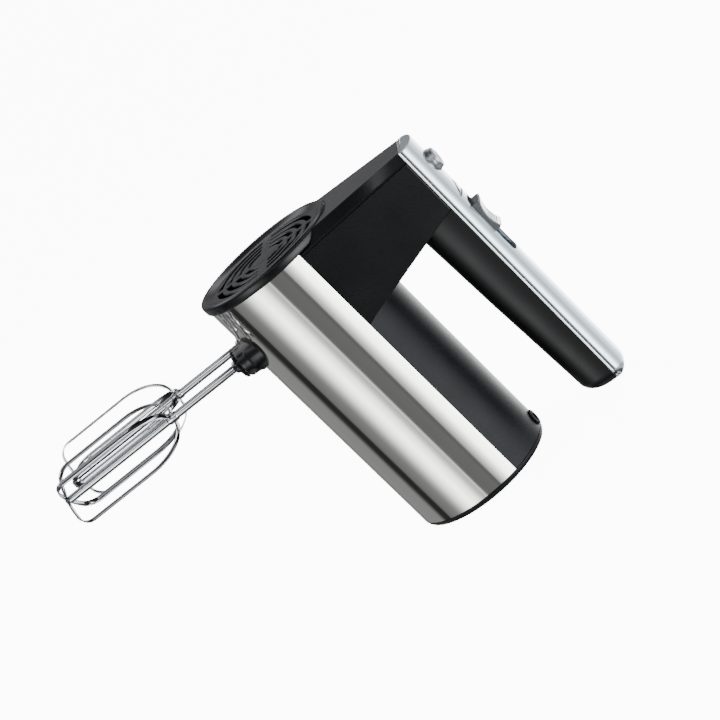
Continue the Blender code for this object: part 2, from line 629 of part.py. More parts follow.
def make_chassis(finish):
    """Cradle inside the steel that holds the motor, the gears and the two socket bosses."""
    outer = BODY_RADIUS - STEEL_WALL - GAP
    trough = sector(outer - 2.0, outer, -175, -5, 28)
    trough = lean(prism(trough, HEEL_RIM + SPIGOT_LENGTH + GAP, STEEL_Z[1] - SPIGOT_LENGTH - GAP))
    chassis = add("chassis", trough, finish["frame"])
    floor_z = (SCREW_AT[1] - 5.5, SPINDLE_Z + 22.3)
    floor_low = GEAR_FLOOR_X - PLATE_THICK
    floor_half = math.sqrt((outer - 0.5) ** 2 - (floor_low - LEAN * floor_z[0]) ** 2)
    floor = box((floor_low, GEAR_FLOOR_X), (-floor_half, floor_half), floor_z)
    ribs = [bulkhead(z, 3.0, -12.0) for z in (STATOR_Z[0] + 2.0, STATOR_Z[1] - 5.0)]
    walls = [bulkhead(z, BULKHEAD_THICK, 20.0) for z in (REAR_BULKHEAD_Z, FRONT_BULKHEAD_Z)]
    join(chassis, floor, *ribs, *walls)
    centres = [(side * HALF_SPACING, SPINDLE_Z) for side, _ in SIDES.values()]
    join(chassis, *[ring(0, BOSS_RADIUS, BOSS_END_X, GEAR_FLOOR_X - 0.5, "X", c) for c in centres])
    cutters = []
    for side, centre in zip((-1, 1), centres):
        wide, narrow = BEARING_RADIUS + GAP, SPINDLE_RADIUS + 0.6
        bore = [(0, BOSS_END_X - 1), (wide, BOSS_END_X - 1), (wide, BOSS_END_X + 18),
                (narrow, BOSS_END_X + 18), (narrow, GEAR_FLOOR_X + 1), (0, GEAR_FLOOR_X + 1)]
        screw = (side * SCREW_AT[0], SCREW_AT[1])
        cutters += [lathe(bore, "X", centre),
                    ring(0, 1.8, GEAR_FLOOR_X - 9, GEAR_FLOOR_X + 1, "X", screw, COARSE)]
    half = STATOR_SIDE / 2 + GAP
    cutters.append(box((MOTOR_X - half, MOTOR_X + half), (-half, half), (STATOR_Z[0], STATOR_Z[1])))
    for z in (REAR_BULKHEAD_Z, FRONT_BULKHEAD_Z):
        cutters.append(ring(0, BEARING_RADIUS + GAP, z - 1, z + 4, "Z", (MOTOR_X, 0)))
        for side in (-1, 1):
            outline = [(MOTOR_X + u, side * v) for v, u in sector(17.0, 27.0, 50, 130, 4)]
            cutters.append(prism(outline, z - 1, z + 4))
    cut(chassis, *cutters)


def make_motor(finish):
    """Universal motor: stator, armature, commutator, brushes, bearings, fan and worm."""
    axis = (MOTOR_X, 0.0)
    spin = pivot("motor_spin", MOTOR_X, 0.0, SPINDLE_Z)
    stator = [(MOTOR_X + x, y) for x, y in rounded_rectangle(STATOR_SIDE / 2, -STATOR_SIDE / 2,
                                                            STATOR_SIDE / 2, 8.0)]
    stator = add("motor_stator", prism(stator, *STATOR_Z), finish["iron"])
    cut(stator, ring(0, STATOR_BORE, STATOR_Z[0] - 1, STATOR_Z[1] + 1, "Z", axis, FINE))
    for name, low in (("rear_field_coil", STATOR_Z[0] - 6.0), ("front_field_coil", STATOR_Z[1] + GAP)):
        coil = [(17.5, low), (22.5, low), (24.0, low + 1.5), (24.0, low + 5.7), (17.5, low + 5.7)]
        add(name, lathe(coil, "Z", axis), finish["copper"])
    core = []
    for i in range(12):
        for share, radius in ((-0.42, 1.0), (0.0, 1.0), (0.30, 1.0), (0.34, 0.78), (0.54, 0.78)):
            angle = 2 * math.pi * (i + share) / 12
            core.append((MOTOR_X + CORE_RADIUS * radius * math.cos(angle),
                         CORE_RADIUS * radius * math.sin(angle)))
    core = add("armature_core", prism(core, *STATOR_Z), finish["iron"], spin)
    bore = SHAFT_RADIUS + GAP
    cut(core, ring(0, bore, STATOR_Z[0] - 1, STATOR_Z[1] + 1, "Z", axis))
    low = STATOR_Z[1] + GAP
    winding = [(bore, low), (11.5, low), (13.0, low + 2.0), (10.0, low + 5.0), (bore, low + 5.0)]
    add("armature_winding", lathe(winding, "Z", axis), finish["copper"], spin)
    commutator = ring(bore, COMMUTATOR_RADIUS, *COMMUTATOR_Z, "Z", axis)
    add("commutator", commutator, finish["copper"], spin)
    for name, low in (("rear_bearing", REAR_BULKHEAD_Z), ("front_bearing", FRONT_BULKHEAD_Z),
                      ("thrust_bearing", THRUST_Z + 0.4)):
        bearing = ring(bore + 0.05, BEARING_RADIUS, low - 0.2, low + 3.2, "Z", axis)
        add(name, bearing, finish["bronze"])
    make_fan(finish, spin)
    make_worm_shaft(finish, spin)
    make_brushes(finish)


def make_fan(finish, spin):
    """Cooling fan on the motor shaft."""
    low = FAN_Z
    disc = ring(SHAFT_RADIUS + GAP, FAN_RADIUS, low, low + 1.6, "Z", (MOTOR_X, 0.0))
    fan = add("cooling_fan", disc, finish["nylon"], spin)
    outline = []
    for i in range(FAN_BLADES):
        start = 2 * math.pi * i / FAN_BLADES
        for share, radius in ((0.0, 7.0), (0.1, FAN_RADIUS - 0.5), (0.14, FAN_RADIUS - 0.5),
                              (0.12, 7.0), (0.5, 7.0)):
            angle = start + 2 * math.pi * share / FAN_BLADES
            outline.append((MOTOR_X + radius * math.cos(angle), radius * math.sin(angle)))
    join(fan, prism(outline, low + 1.0, low + 8.5))
    cut(fan, ring(0, SHAFT_RADIUS + GAP, low - 1, low + 10, "Z", (MOTOR_X, 0.0)))


def worm_sizes():
    """Module, lead and the worm's root and tip radii."""
    pitch_radius = HALF_SPACING - WORM_PITCH_RADIUS
    module = 2 * pitch_radius / GEAR_TEETH
    return module, math.pi * module, WORM_PITCH_RADIUS - 1.15 * module, WORM_PITCH_RADIUS + 0.9 * module


def make_worm_shaft(finish, spin):
    """Motor shaft with a right-hand worm thread cut on it between the two gears."""
    module, lead, root, tip = worm_sizes()
    worm_low, worm_high = SPINDLE_Z - 9.0, SPINDLE_Z + 9.0
    end, tail = THRUST_Z + 5.6, REAR_BULKHEAD_Z - 4.0
    profile = [(0, tail), (SHAFT_RADIUS, tail), (SHAFT_RADIUS, worm_low - 2), (root, worm_low - 1.5),
               (root, worm_high + 1.5), (SHAFT_RADIUS, worm_high + 2), (SHAFT_RADIUS, end), (0, end)]
    shaft = add("worm_shaft", lathe(profile, "Z", (MOTOR_X, 0.0)), finish["iron"], spin)
    half_pitch_line = TOOTH_SHARE * lead / 2
    slope = math.tan(math.radians(20))
    half_root = half_pitch_line + (WORM_PITCH_RADIUS - root) * slope
    half_tip = half_pitch_line - (tip - WORM_PITCH_RADIUS) * slope
    steps_per_turn = 12
    turns = (worm_high - worm_low) / lead - 1
    sections = []
    for i in range(int(turns * steps_per_turn) + 1):
        angle = 2 * math.pi * i / steps_per_turn
        height = worm_low + lead / 2 + lead * i / steps_per_turn
        phase = angle + worm_phase(worm_low + lead / 2, lead)
        section = []
        for radius, rise in ((root - 0.4, -half_root), (tip, -half_tip), (tip, half_tip),
                             (root - 0.4, half_root)):
            section.append((MOTOR_X + radius * math.cos(phase), radius * math.sin(phase), height + rise))
        sections.append(section)
    join(shaft, loft(sections))


def worm_phase(start, lead):
    """Angle that puts a thread in the middle of the mesh on the right gear's side."""
    return 2 * math.pi * (start - SPINDLE_Z) / lead + math.pi / 2


def make_brushes(finish):
    """Carbon brushes on both sides of the commutator, in their holders."""
    for name, side in (("left", -1), ("right", 1)):
        far = (10.0, 22.0) if side > 0 else (-22.0, -10.0)
        foot = REAR_BULKHEAD_Z + BULKHEAD_THICK + GAP
        holder = box((MOTOR_X - 4.5, MOTOR_X + 4.5), far, (foot, COMMUTATOR_Z[1] + 0.7))
        holder = add(name + "_brush_holder", holder, finish["bronze"])
        through = (8.0, 30.0) if side > 0 else (-30.0, -8.0)
        cut(holder, box((MOTOR_X - 2.8, MOTOR_X + 2.8), through, (COMMUTATOR_Z[0] + 1.2, COMMUTATOR_Z[1] - 1.2)))
        near = (9.4, 18.0) if side > 0 else (-18.0, -9.4)
        brush = box((MOTOR_X - 2.5, MOTOR_X + 2.5), near, (COMMUTATOR_Z[0] + 1.5, COMMUTATOR_Z[1] - 1.5))
        add(name + "_brush", brush, finish["carbon"])


# ---------------------------------------------------------------- gears, spindles and ejector

def make_gear(name, side, finish, spindle):
    """Helical gear that a worm between the two spindles drives."""
    module, lead, _, _ = worm_sizes()
    pitch_radius = HALF_SPACING - WORM_PITCH_RADIUS
    twist = math.tan(math.atan(lead / (2 * math.pi * WORM_PITCH_RADIUS))) / pitch_radius
    half_tooth = TOOTH_SHARE * math.pi / GEAR_TEETH
    slope = math.tan(math.radians(20))
    tip, root = pitch_radius + 0.9 * module, pitch_radius - 1.15 * module
    half_root = half_tooth + (pitch_radius - root) * slope / pitch_radius
    half_tip = half_tooth - (tip - pitch_radius) * slope / pitch_radius
    toward_worm = math.pi if side > 0 else 0.0
    first = 0.5 if side > 0 else 0.0     # the thread faces a gap on one side and a tooth on the other
    sections = []
    for x in (-GEAR_WIDTH / 2, GEAR_WIDTH / 2):
        section = []
        for i in range(GEAR_TEETH):
            middle = toward_worm + 2 * math.pi * (i + first) / GEAR_TEETH + x * twist
            for radius, offset in ((root, -half_root), (tip, -half_tip), (tip, half_tip), (root, half_root)):
                angle = middle + offset
                section.append((MOTOR_X + x, side * HALF_SPACING + radius * math.cos(angle),
                                SPINDLE_Z + radius * math.sin(angle)))
        sections.append(section)
    gear = add(name + "_gear", loft(sections), finish["nylon"], spindle)
    cut(gear, ring(0, SPINDLE_RADIUS + GAP, MOTOR_X - 10, MOTOR_X + 10, "X",
                   (side * HALF_SPACING, SPINDLE_Z)))


def make_spindles(finish):
    """Hollow spindles with their gears, bushes and driving collars, one for each beater."""
    for name, (side, angle) in SIDES.items():
        centre = (side * HALF_SPACING, SPINDLE_Z)
        spindle = pivot(name + "_spindle_spin", MOTOR_X, *centre)
        tube = ring(SPINDLE_BORE, SPINDLE_RADIUS, BOSS_END_X - GAP, SPINDLE_TOP_X, "X", centre)
        add(name + "_spindle", tube, finish["spring"], spindle)
        make_gear(name, side, finish, spindle)
        bush = ring(SPINDLE_RADIUS + GAP, BEARING_RADIUS, BOSS_END_X + GAP, BOSS_END_X + 17.5, "X", centre)
        add(name + "_bush", bush, finish["bronze"])
        low = BOSS_END_X - 0.8
        collar = [(SPINDLE_RADIUS + GAP, low), (COLLAR_RADIUS - 1.2, low), (COLLAR_RADIUS, low - 0.6),
                  (COLLAR_RADIUS, low - COLLAR_THICK), (BEATER_SHAFT_RADIUS + 1.4, low - COLLAR_THICK),
                  (BEATER_SHAFT_RADIUS + 1.4, low - 1.0), (SPINDLE_RADIUS + GAP, low - 1.0)]
        add(name + "_collar", lathe(collar, "X", centre), finish["black"], spindle)
        make_beater(name, centre, angle, finish, spindle)


def make_gearbox_plate(finish):
    """Plate over the gears, with the block that holds the worm's end bearing."""
    high = GEAR_PLATE_X + PLATE_THICK
    half = SCREW_AT[0] + 4.0
    plate = box((GEAR_PLATE_X, high), (-half, half), (SCREW_AT[1] - 4.5, THRUST_Z + 7.1))
    plate = add("gearbox_plate", plate, finish["frame"])
    join(plate, box((MOTOR_X - 10.5, GEAR_PLATE_X + 1), (-10.5, 10.5), (THRUST_Z, THRUST_Z + 5.1)))
    seat, bore = BEARING_RADIUS + GAP, SHAFT_RADIUS + 1.0
    inner, shoulder, outer = THRUST_Z - 5.9, THRUST_Z + 3.9, THRUST_Z + 9.1
    cut(plate, lathe([(0, inner), (seat, inner), (seat, shoulder), (bore, shoulder), (bore, outer),
                      (0, outer)], "Z", (MOTOR_X, 0.0)))
    posts = {name: (side * SCREW_AT[0], SCREW_AT[1]) for name, (side, _) in SIDES.items()}
    join(plate, *[ring(0, 3.2, GEAR_FLOOR_X + GAP, GEAR_PLATE_X + 1, "X", post, COARSE)
                  for post in posts.values()])
    holes = [ring(0, SPINDLE_RADIUS + GAP, 0.0, 20.0, "X", (side * HALF_SPACING, SPINDLE_Z))
             for side, _ in SIDES.values()]
    cut(plate, *holes, *[ring(0, 1.8, GEAR_FLOOR_X - 2, high + 2, "X", post, COARSE)
                         for post in posts.values()])
    for name, post in posts.items():
        screw = [(0, GEAR_FLOOR_X - 6.0), (1.5, GEAR_FLOOR_X - 6.0), (1.5, high + GAP), (3.0, high + GAP),
                 (2.6, high + 1.9), (0, high + 1.9)]
        add(name + "_plate_screw", lathe(screw, "X", post, COARSE), finish["spring"])


def make_ejector(finish):
    """Push button, its rod and spring, and the yoke whose pins push the beaters out."""
    centre = (0.0, EJECT_Z)
    slide = pivot("eject_slide", CREST_X + LEAN * EJECT_Z, *centre)
    crest = CREST_X + LEAN * EJECT_Z
    top = crest + BUTTON_PROUD
    button = [(0, crest - 7.0), (BUTTON_RADIUS, crest - 7.0), (BUTTON_RADIUS, crest + 0.8),
              (BUTTON_RIM_RADIUS + 0.2, top - 1.8), (BUTTON_RIM_RADIUS, top - 0.4),
              (BUTTON_RIM_RADIUS - 0.5, top), (BUTTON_RIM_RADIUS - 1.1, top - 0.4),
              (BUTTON_RIM_RADIUS - 3.0, top - 1.4), (0, top - 1.8)]
    add("eject_button", lathe(button, "X", centre), finish["chrome"], slide)
    rod_top = crest - 7.0 - GAP
    rod = [(0, YOKE_X + YOKE_THICK + GAP), (ROD_RADIUS, YOKE_X + YOKE_THICK + GAP),
           (ROD_RADIUS, rod_top - 2.0), (5.3, rod_top - 2.0), (5.3, rod_top), (0, rod_top)]
    add("eject_rod", lathe(rod, "X", centre, COARSE), finish["nylon"], slide)
    shelf_top = SEAM_X - 26.0 + LEAN * (EJECT_Z - 8)
    coil_low, coil_high = shelf_top + EJECT_TRAVEL + 1.0, rod_top - 2.0 - 2 * GAP
    add("eject_spring", coil(4.6, 0.45, coil_low, coil_high, centre, 5), finish["spring"], slide)

    yoke = box((YOKE_X, YOKE_X + YOKE_THICK), (-HALF_SPACING - 5, HALF_SPACING + 5),
               (SPINDLE_Z - 4.0, SPINDLE_Z + 4.0))
    yoke = add("eject_yoke", yoke, finish["spring"], slide)
    join(yoke, box((YOKE_X, YOKE_X + YOKE_THICK), (-5.0, 5.0), (SPINDLE_Z + 3.0, EJECT_Z + 4.0)))
    join(yoke, *[ring(0, PIN_RADIUS, BEATER_TOP_X + GAP, YOKE_X + 1.0, "X",
                      (side * HALF_SPACING, SPINDLE_Z), COARSE) for side, _ in SIDES.values()])


def coil(radius, wire, low, high, centre, turns):
    """Round-wire helical spring about an X axis."""
    sections = []
    steps = 10
    for i in range(turns * steps + 1):
        angle = 2 * math.pi * i / steps
        height = low + wire + (high - low - 2 * wire) * i / (turns * steps)
        section = []
        for k in range(5):
            turn = 2 * math.pi * k / 5
            reach = radius + wire * math.cos(turn)
            section.append((height + wire * math.sin(turn), centre[0] + reach * math.cos(angle),
                            centre[1] + reach * math.sin(angle)))
        sections.append(section)
    return loft(sections)


# ---------------------------------------------------------------- beaters

def loop_path(inset):
    """Half of a beater loop as (radius, x) points, from the tip to the shaft."""
    side_radius = BEATER_RADIUS - inset
    tip = BEATER_TIP_X + 1.0 + inset
    straight_low = tip + 2.4 + TIP_CORNER
    straight_high = BEATER_SHOULDER_X - SHOULDER_LENGTH
    points = [(0.0, tip), ((side_radius - TIP_CORNER) * 0.6, tip + 0.7)]
    for i in range(5):
        angle = math.radians(90 * i / 4)
        points.append((side_radius - TIP_CORNER * (1 - math.sin(angle)),
                       straight_low - TIP_CORNER * math.cos(angle)))
    shaft_side = BEATER_SHAFT_RADIUS + 0.9
    reach = side_radius - shaft_side
    for i in range(8):
        angle = math.radians(90 * i / 7)
        points.append((shaft_side + reach * math.cos(angle) ** 0.9,
                       straight_high + (SHOULDER_LENGTH - inset) * math.sin(angle)))
    return points


def beater_loop(centre, angle, inset):
    """Flat strip bent into a loop that is open at the shaft."""
    half = loop_path(inset)
    path = [(-r, x) for r, x in reversed(half)] + half[1:]
    turn = math.radians(angle)
    across = (math.cos(turn), math.sin(turn))
    sections = []
    for i, (r, x) in enumerate(path):
        before, after = path[max(i - 1, 0)], path[min(i + 1, len(path) - 1)]
        step_r, step_x = after[0] - before[0], after[1] - before[1]
        length = math.hypot(step_r, step_x)
        normal = (-step_x / length, step_r / length)
        section = []
        for side, wide in ((-1, -1), (1, -1), (1, 1), (-1, 1)):
            reach = r + normal[0] * side * STRIP_THICK / 2
            height = x + normal[1] * side * STRIP_THICK / 2
            offset = wide * STRIP_WIDTH / 2
            section.append((height, centre[0] + reach * across[0] - offset * across[1],
                            centre[1] + reach * across[1] + offset * across[0]))
        sections.append(section)
    return loft(sections)


def make_beater(name, centre, angle, finish, spindle):
    """Beater: a shaft with a locking ring, and two crossed strip loops riveted at the tip."""
    beater = pivot(name + "_beater_slide", BOSS_END_X, *centre)
    beater.parent = spindle
    beater.matrix_parent_inverse = spindle.matrix_world.inverted()
    bpy.context.view_layer.update()
    radius = BEATER_SHAFT_RADIUS
    inner_tip = BEATER_TIP_X + 1.0 + (STRIP_THICK + GAP) + STRIP_THICK / 2 + GAP
    outer_tip = BEATER_TIP_X + 1.0 - STRIP_THICK / 2 - GAP
    knot = BEATER_SHOULDER_X
    profile = [(0, BEATER_TOP_X), (radius - 0.6, BEATER_TOP_X), (radius, BEATER_TOP_X - 1.0),
               (radius, knot + 3.0), (radius + 0.5, knot + 2.0), (radius + 0.5, knot - 3.0),
               (radius, knot - 4.0), (radius, inner_tip), (0.9, inner_tip), (0.9, outer_tip),
               (2.2, outer_tip), (1.8, outer_tip - 0.5), (0, outer_tip - 0.6)]
    add(name + "_beater_shaft", lathe(profile, "X", centre), finish["chrome"], beater)
    low = BOSS_END_X - 0.8 - COLLAR_THICK - GAP
    lock = [(radius + GAP, low), (3.9, low), (4.6, low - 0.8), (3.6, low - 3.2), (radius + GAP, low - 3.2)]
    add(name + "_lock_ring", lathe(lock, "X", centre), finish["chrome"], beater)
    for index, suffix in enumerate(("outer", "inner")):
        strip = beater_loop(centre, angle + 90 * index, index * (STRIP_THICK + GAP))
        strip = add(f"{name}_beater_{suffix}_loop", strip, finish["chrome"], beater)
        cut(strip, ring(0, 0.9 + GAP, BEATER_TIP_X - 5, BEATER_TIP_X + 5, "X", centre, COARSE))


def main():
    """Build the mixer in an empty scene."""
    for leftover in list(bpy.data.objects):
        bpy.data.objects.remove(leftover, do_unlink=True)
    finish = make_materials()
    make_grille(finish)
    make_steel_sleeve(finish)
    make_rear_shell(finish)
    make_heel(finish)
    make_post(finish)
    make_handle(finish)
    make_speed_switch(finish)
    make_chassis(finish)
    make_motor(finish)
    make_gearbox_plate(finish)
    make_spindles(finish)
    make_ejector(finish)


main()
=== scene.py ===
"""Hand mixer with its real finishes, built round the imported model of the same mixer.

Sizes are millimetres in the frame of the model: the heel stands on z = 0, the beaters point
to -X and the handle is on the +X side. Casing pieces are drawn upright and then sheared by LEAN.
"""
from __future__ import annotations

import logging
import math
from dataclasses import dataclass, field
from enum import Enum
from typing import Callable, Iterable, Sequence

import bmesh
import bpy
from mathutils import Matrix, Vector


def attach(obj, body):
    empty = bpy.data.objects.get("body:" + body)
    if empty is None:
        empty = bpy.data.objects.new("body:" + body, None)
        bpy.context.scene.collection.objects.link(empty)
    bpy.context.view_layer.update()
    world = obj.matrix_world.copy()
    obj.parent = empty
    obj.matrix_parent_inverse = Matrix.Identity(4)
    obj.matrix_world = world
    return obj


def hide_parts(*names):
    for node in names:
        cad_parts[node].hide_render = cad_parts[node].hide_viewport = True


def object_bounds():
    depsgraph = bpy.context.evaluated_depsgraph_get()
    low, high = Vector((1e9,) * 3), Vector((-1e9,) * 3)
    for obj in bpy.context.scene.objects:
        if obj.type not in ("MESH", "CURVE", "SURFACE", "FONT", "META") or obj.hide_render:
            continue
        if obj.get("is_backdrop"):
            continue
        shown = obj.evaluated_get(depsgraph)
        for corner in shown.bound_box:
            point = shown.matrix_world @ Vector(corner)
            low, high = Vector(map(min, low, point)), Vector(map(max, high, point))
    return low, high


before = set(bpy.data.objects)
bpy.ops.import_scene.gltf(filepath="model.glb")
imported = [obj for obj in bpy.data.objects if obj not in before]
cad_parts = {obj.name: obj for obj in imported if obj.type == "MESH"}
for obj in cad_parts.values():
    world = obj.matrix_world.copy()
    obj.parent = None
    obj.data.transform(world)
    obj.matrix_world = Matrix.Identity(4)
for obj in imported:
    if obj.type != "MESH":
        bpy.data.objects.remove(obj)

LOG = logging.getLogger("hand_mixer")
MM = 0.001
LEAN = -0.07
GAP = 0.3
ROUND = 128

Point = tuple[float, float, float]
Flat = tuple[float, float]
Colour = tuple[float, float, float]


class Body(Enum):
    """The moving bodies of the mixer."""

    HOUSING = "housing"
    LEFT_DRIVE = "left_drive"
    RIGHT_DRIVE = "right_drive"
    LEFT_BEATER = "left_beater"
    RIGHT_BEATER = "right_beater"
    EJECTOR = "ejector"
    SWITCH = "speed_switch"


class Grain(Enum):
    """The way in which a surface texture runs."""

    EVEN = (1.0, 1.0, 1.0)
    UPRIGHT = (1.0, 1.0, 0.012)
    ALONG_BEATER = (0.03, 1.0, 1.0)
    LAMINATED = (0.02, 0.02, 1.0)


# ---------------------------------------------------------------- shader expressions

class Value:
    """A node's output or a number, used in expressions that add Math nodes."""

    def __init__(self, graph: Graph, source: bpy.types.NodeSocket | float) -> None:
        """Keep the source and the graph that it belongs to."""
        self.graph = graph
        self.source = source

    def _math(self, operation: str, first: object, second: object) -> Value:
        """Add one Math node.

        Args:
            operation: Blender's name of the operation.
            first: left operand.
            second: right operand.

        Returns:
            The node's output.
        """
        return self.graph.node("ShaderNodeMath", {"operation": operation}, {0: first, 1: second})

    def __add__(self, other: object) -> Value:
        """Sum."""
        return self._math("ADD", self, other)

    def __radd__(self, other: object) -> Value:
        """Sum with a number on the left."""
        return self._math("ADD", other, self)

    def __sub__(self, other: object) -> Value:
        """Difference."""
        return self._math("SUBTRACT", self, other)

    def __rsub__(self, other: object) -> Value:
        """Difference from a number."""
        return self._math("SUBTRACT", other, self)

    def __mul__(self, other: object) -> Value:
        """Product."""
        return self._math("MULTIPLY", self, other)

    def __rmul__(self, other: object) -> Value:
        """Product with a number on the left."""
        return self._math("MULTIPLY", other, self)

    def __truediv__(self, other: object) -> Value:
        """Quotient."""
        return self._math("DIVIDE", self, other)

    def __rtruediv__(self, other: object) -> Value:
        """Quotient of a number."""
        return self._math("DIVIDE", other, self)


class Graph:
    """A node tree that is filled by expressions."""

    def __init__(self, tree: bpy.types.NodeTree) -> None:
        """Empty the tree."""
        self.tree = tree
        tree.nodes.clear()

    def node(self, kind: str, settings: dict[str, object] | None = None,
             sockets: dict[int | str, object] | None = None, output: int | str = 0) -> Value:
        """Add a node.

        Args:
            kind: the node's type.
            settings: properties to set first; "stops" are a ramp's places and colours.
            sockets: values or links of its inputs.
            output: which output is wanted.

        Returns:
            That output, for use in an expression.
        """
        made = self.tree.nodes.new(kind)
        for name, setting in (settings or {}).items():
            if name == "stops":
                self._stops(made.color_ramp, setting)
            else:
                setattr(made, name, setting)
        for key, given in (sockets or {}).items():
            socket = made.inputs[key]
            source = given.source if isinstance(given, Value) else given
            if isinstance(source, bpy.types.NodeSocket):
                self.tree.links.new(source, socket)
            else:
                socket.default_value = source
        return Value(self, made.outputs[output] if made.outputs else 0.0)

    @staticmethod
    def _stops(ramp: bpy.types.ColorRamp, stops: Sequence[tuple[float, Sequence[float]]]) -> None:
        """Set a ramp's stops, in order of their places.

        Args:
            ramp: the ramp to set.
            stops: places from 0 to 1 with their colours.
        """
        while len(ramp.elements) > 1:
            ramp.elements.remove(ramp.elements[-1])
        for index, (place, colour) in enumerate(stops):
            element = ramp.elements[0] if index == 0 else ramp.elements.new(place)
            element.position = place
            element.color = (*colour, 1.0)

    def mix(self, factor: Value, first: Sequence[float] | Value, second: Sequence[float] | Value) -> Value:
        """Blend two colours by a factor.

        Args:
            factor: 0 for the first colour, 1 for the second.
            first: a colour or a link.
            second: a colour or a link.

        Returns:
            The blended colour.
        """
        return self.node("ShaderNodeMix", {"data_type": "RGBA"}, {0: factor, 6: first, 7: second}, 2)

    def place(self, grain: Grain) -> Value:
        """Position on the object, stretched along a grain.

        Args:
            grain: how much each axis is shrunk.

        Returns:
            The position.
        """
        where = self.node("ShaderNodeTexCoord", output="Object")
        return self.node("ShaderNodeVectorMath", {"operation": "MULTIPLY"}, {0: where, 1: grain.value})

    def noise(self, place: Value, per_metre: float, detail: float = 2.0) -> Value:
        """Noise of a fineness, from 0 to 1.

        Args:
            place: the position to read.
            per_metre: waves in a metre.
            detail: layers of finer noise.

        Returns:
            The noise.
        """
        sockets = {"Vector": place, "Scale": per_metre, "Detail": detail}
        return self.node("ShaderNodeTexNoise", None, sockets)


# ---------------------------------------------------------------- finishes

@dataclass(frozen=True)
class Finish:
    """A surface with fine texture, slow variation and soft wear.

    Attributes:
        name: the material's name.
        slot: the record's material slot; not used.
        colour: base colour.
        roughness: mean roughness.
        metallic: 1 for bare metal.
        grain: the way in which the texture runs.
        fineness: texture waves per metre.
        relief: height of the texture in metres.
        tone: how much the colour varies.
        smear: how much the roughness varies.
        coat: weight of a clear coat.
        speckle: how much fine flakes lighten the colour.
        gloss: level of the plain reflection.
    """

    name: str
    slot: str
    colour: Colour
    roughness: float
    metallic: float = 0.0
    grain: Grain = Grain.EVEN
    fineness: float = 2600.0
    relief: float = 0.00001
    tone: float = 0.12
    smear: float = 0.08
    coat: float = 0.0
    speckle: float = 0.0
    gloss: float = 0.5

    def _pattern(self, graph: Graph) -> Value:
        """Height of the texture, from 0 to 1.

        Args:
            graph: the node tree to add to.

        Returns:
            The height.
        """
        return graph.noise(graph.place(self.grain), self.fineness, 3.0)

    def _paint_reflection(self, graph: Graph, colour: Value) -> Value:
        """Painted reflection that changes with the angle of view; none here."""
        return colour

    def make(self) -> bpy.types.Material:
        """Build the material once.

        Returns:
            The material, made or found.
        """
        found = bpy.data.materials.get(self.name)
        if found:
            return found
        made = bpy.data.materials.new(self.name)
        made.use_nodes = True
        graph = Graph(made.node_tree)
        pattern = self._pattern(graph)
        slow = graph.noise(graph.place(Grain.EVEN), 38.0, 4.0)
        dark = tuple(c * (1 - self.tone) for c in self.colour)
        light = tuple(min(1.0, c * (1 + self.tone)) for c in self.colour)
        blend = 0.55 * pattern + 0.45 * slow
        colour = graph.mix(blend, (*dark, 1.0), (*light, 1.0))
        if self.speckle:
            flakes = graph.node("ShaderNodeTexVoronoi", None,
                                {"Vector": graph.place(Grain.EVEN), "Scale": 5200.0}, "Color")
            amount = graph.node("ShaderNodeSeparateColor", None, {0: flakes}, 0) * self.speckle
            colour = graph.mix(amount, colour, (0.9, 0.92, 0.95, 1.0))
        # Painted reflection bands, which change with the angle of view, for the finishes that have them.
        colour = self._paint_reflection(graph, colour)
        roughness = (slow - 0.5) * (2 * self.smear) + (pattern - 0.5) * self.smear + self.roughness
        bump = graph.node("ShaderNodeBump", None,
                          {"Strength": 1.0, "Distance": self.relief, "Height": pattern})
        sockets = {"Base Color": colour, "Roughness": roughness, "Metallic": self.metallic,
                   "Specular IOR Level": self.gloss, "Coat Weight": self.coat, "Coat Roughness": 0.12, "Normal": bump}
        shader = graph.node("ShaderNodeBsdfPrincipled", None, sockets)
        graph.node("ShaderNodeOutputMaterial", None, {"Surface": shader})
        return made


@dataclass(frozen=True)
class BandedFinish(Finish):
    """A finish with regular turns or layers along Z, such as laminations or windings."""

    def _pattern(self, graph: Graph) -> Value:
        """Height of the layers, from 0 to 1.

        Args:
            graph: the node tree to add to.

        Returns:
            The height.
        """
        where = graph.node("ShaderNodeTexCoord", output="Object")
        settings = {"bands_direction": "Z", "wave_profile": "SIN"}
        return graph.node("ShaderNodeTexWave", settings,
                          {"Vector": where, "Scale": self.fineness / 20, "Distortion": 0.4}, "Fac")


@dataclass(frozen=True)
class Chrome(Finish):
    """Bright plating with painted reflections: the dark flags of a studio are painted into its colour between head-on
    and grazing.
    """

    def _paint_reflection(self, graph: Graph, colour: Value) -> Value:
        """Paint reflections of dark flags into the colour of the surfaces that are turned partly away.

        Args:
            graph: the node tree to add to.
            colour: the colour of the plating.

        Returns:
            The colour with its painted reflections of flags.
        """
        # Painted reflection: the angle of view picks light and dark studio bands, which are mixed into the base
        # colour.
        facing = graph.node("ShaderNodeLayerWeight", None, {"Blend": 0.5}, "Facing")
        stops = [(0.0, (1.0, 1.0, 1.0)), (0.1, (1.0, 1.0, 1.0)), (0.2, (0.06, 0.065, 0.07)),
                 (0.42, (0.05, 0.055, 0.06)), (0.52, (0.7, 0.72, 0.75)), (0.62, (0.12, 0.13, 0.14)),
                 (0.85, (0.3, 0.32, 0.34)), (1.0, (0.5, 0.52, 0.54))]
        flags = graph.node("ShaderNodeValToRGB", {"stops": stops}, {0: facing})
        return graph.mix(graph.node("ShaderNodeSeparateColor", None, {0: flags}, 0), (0.02, 0.022, 0.026, 1.0),
                         colour)


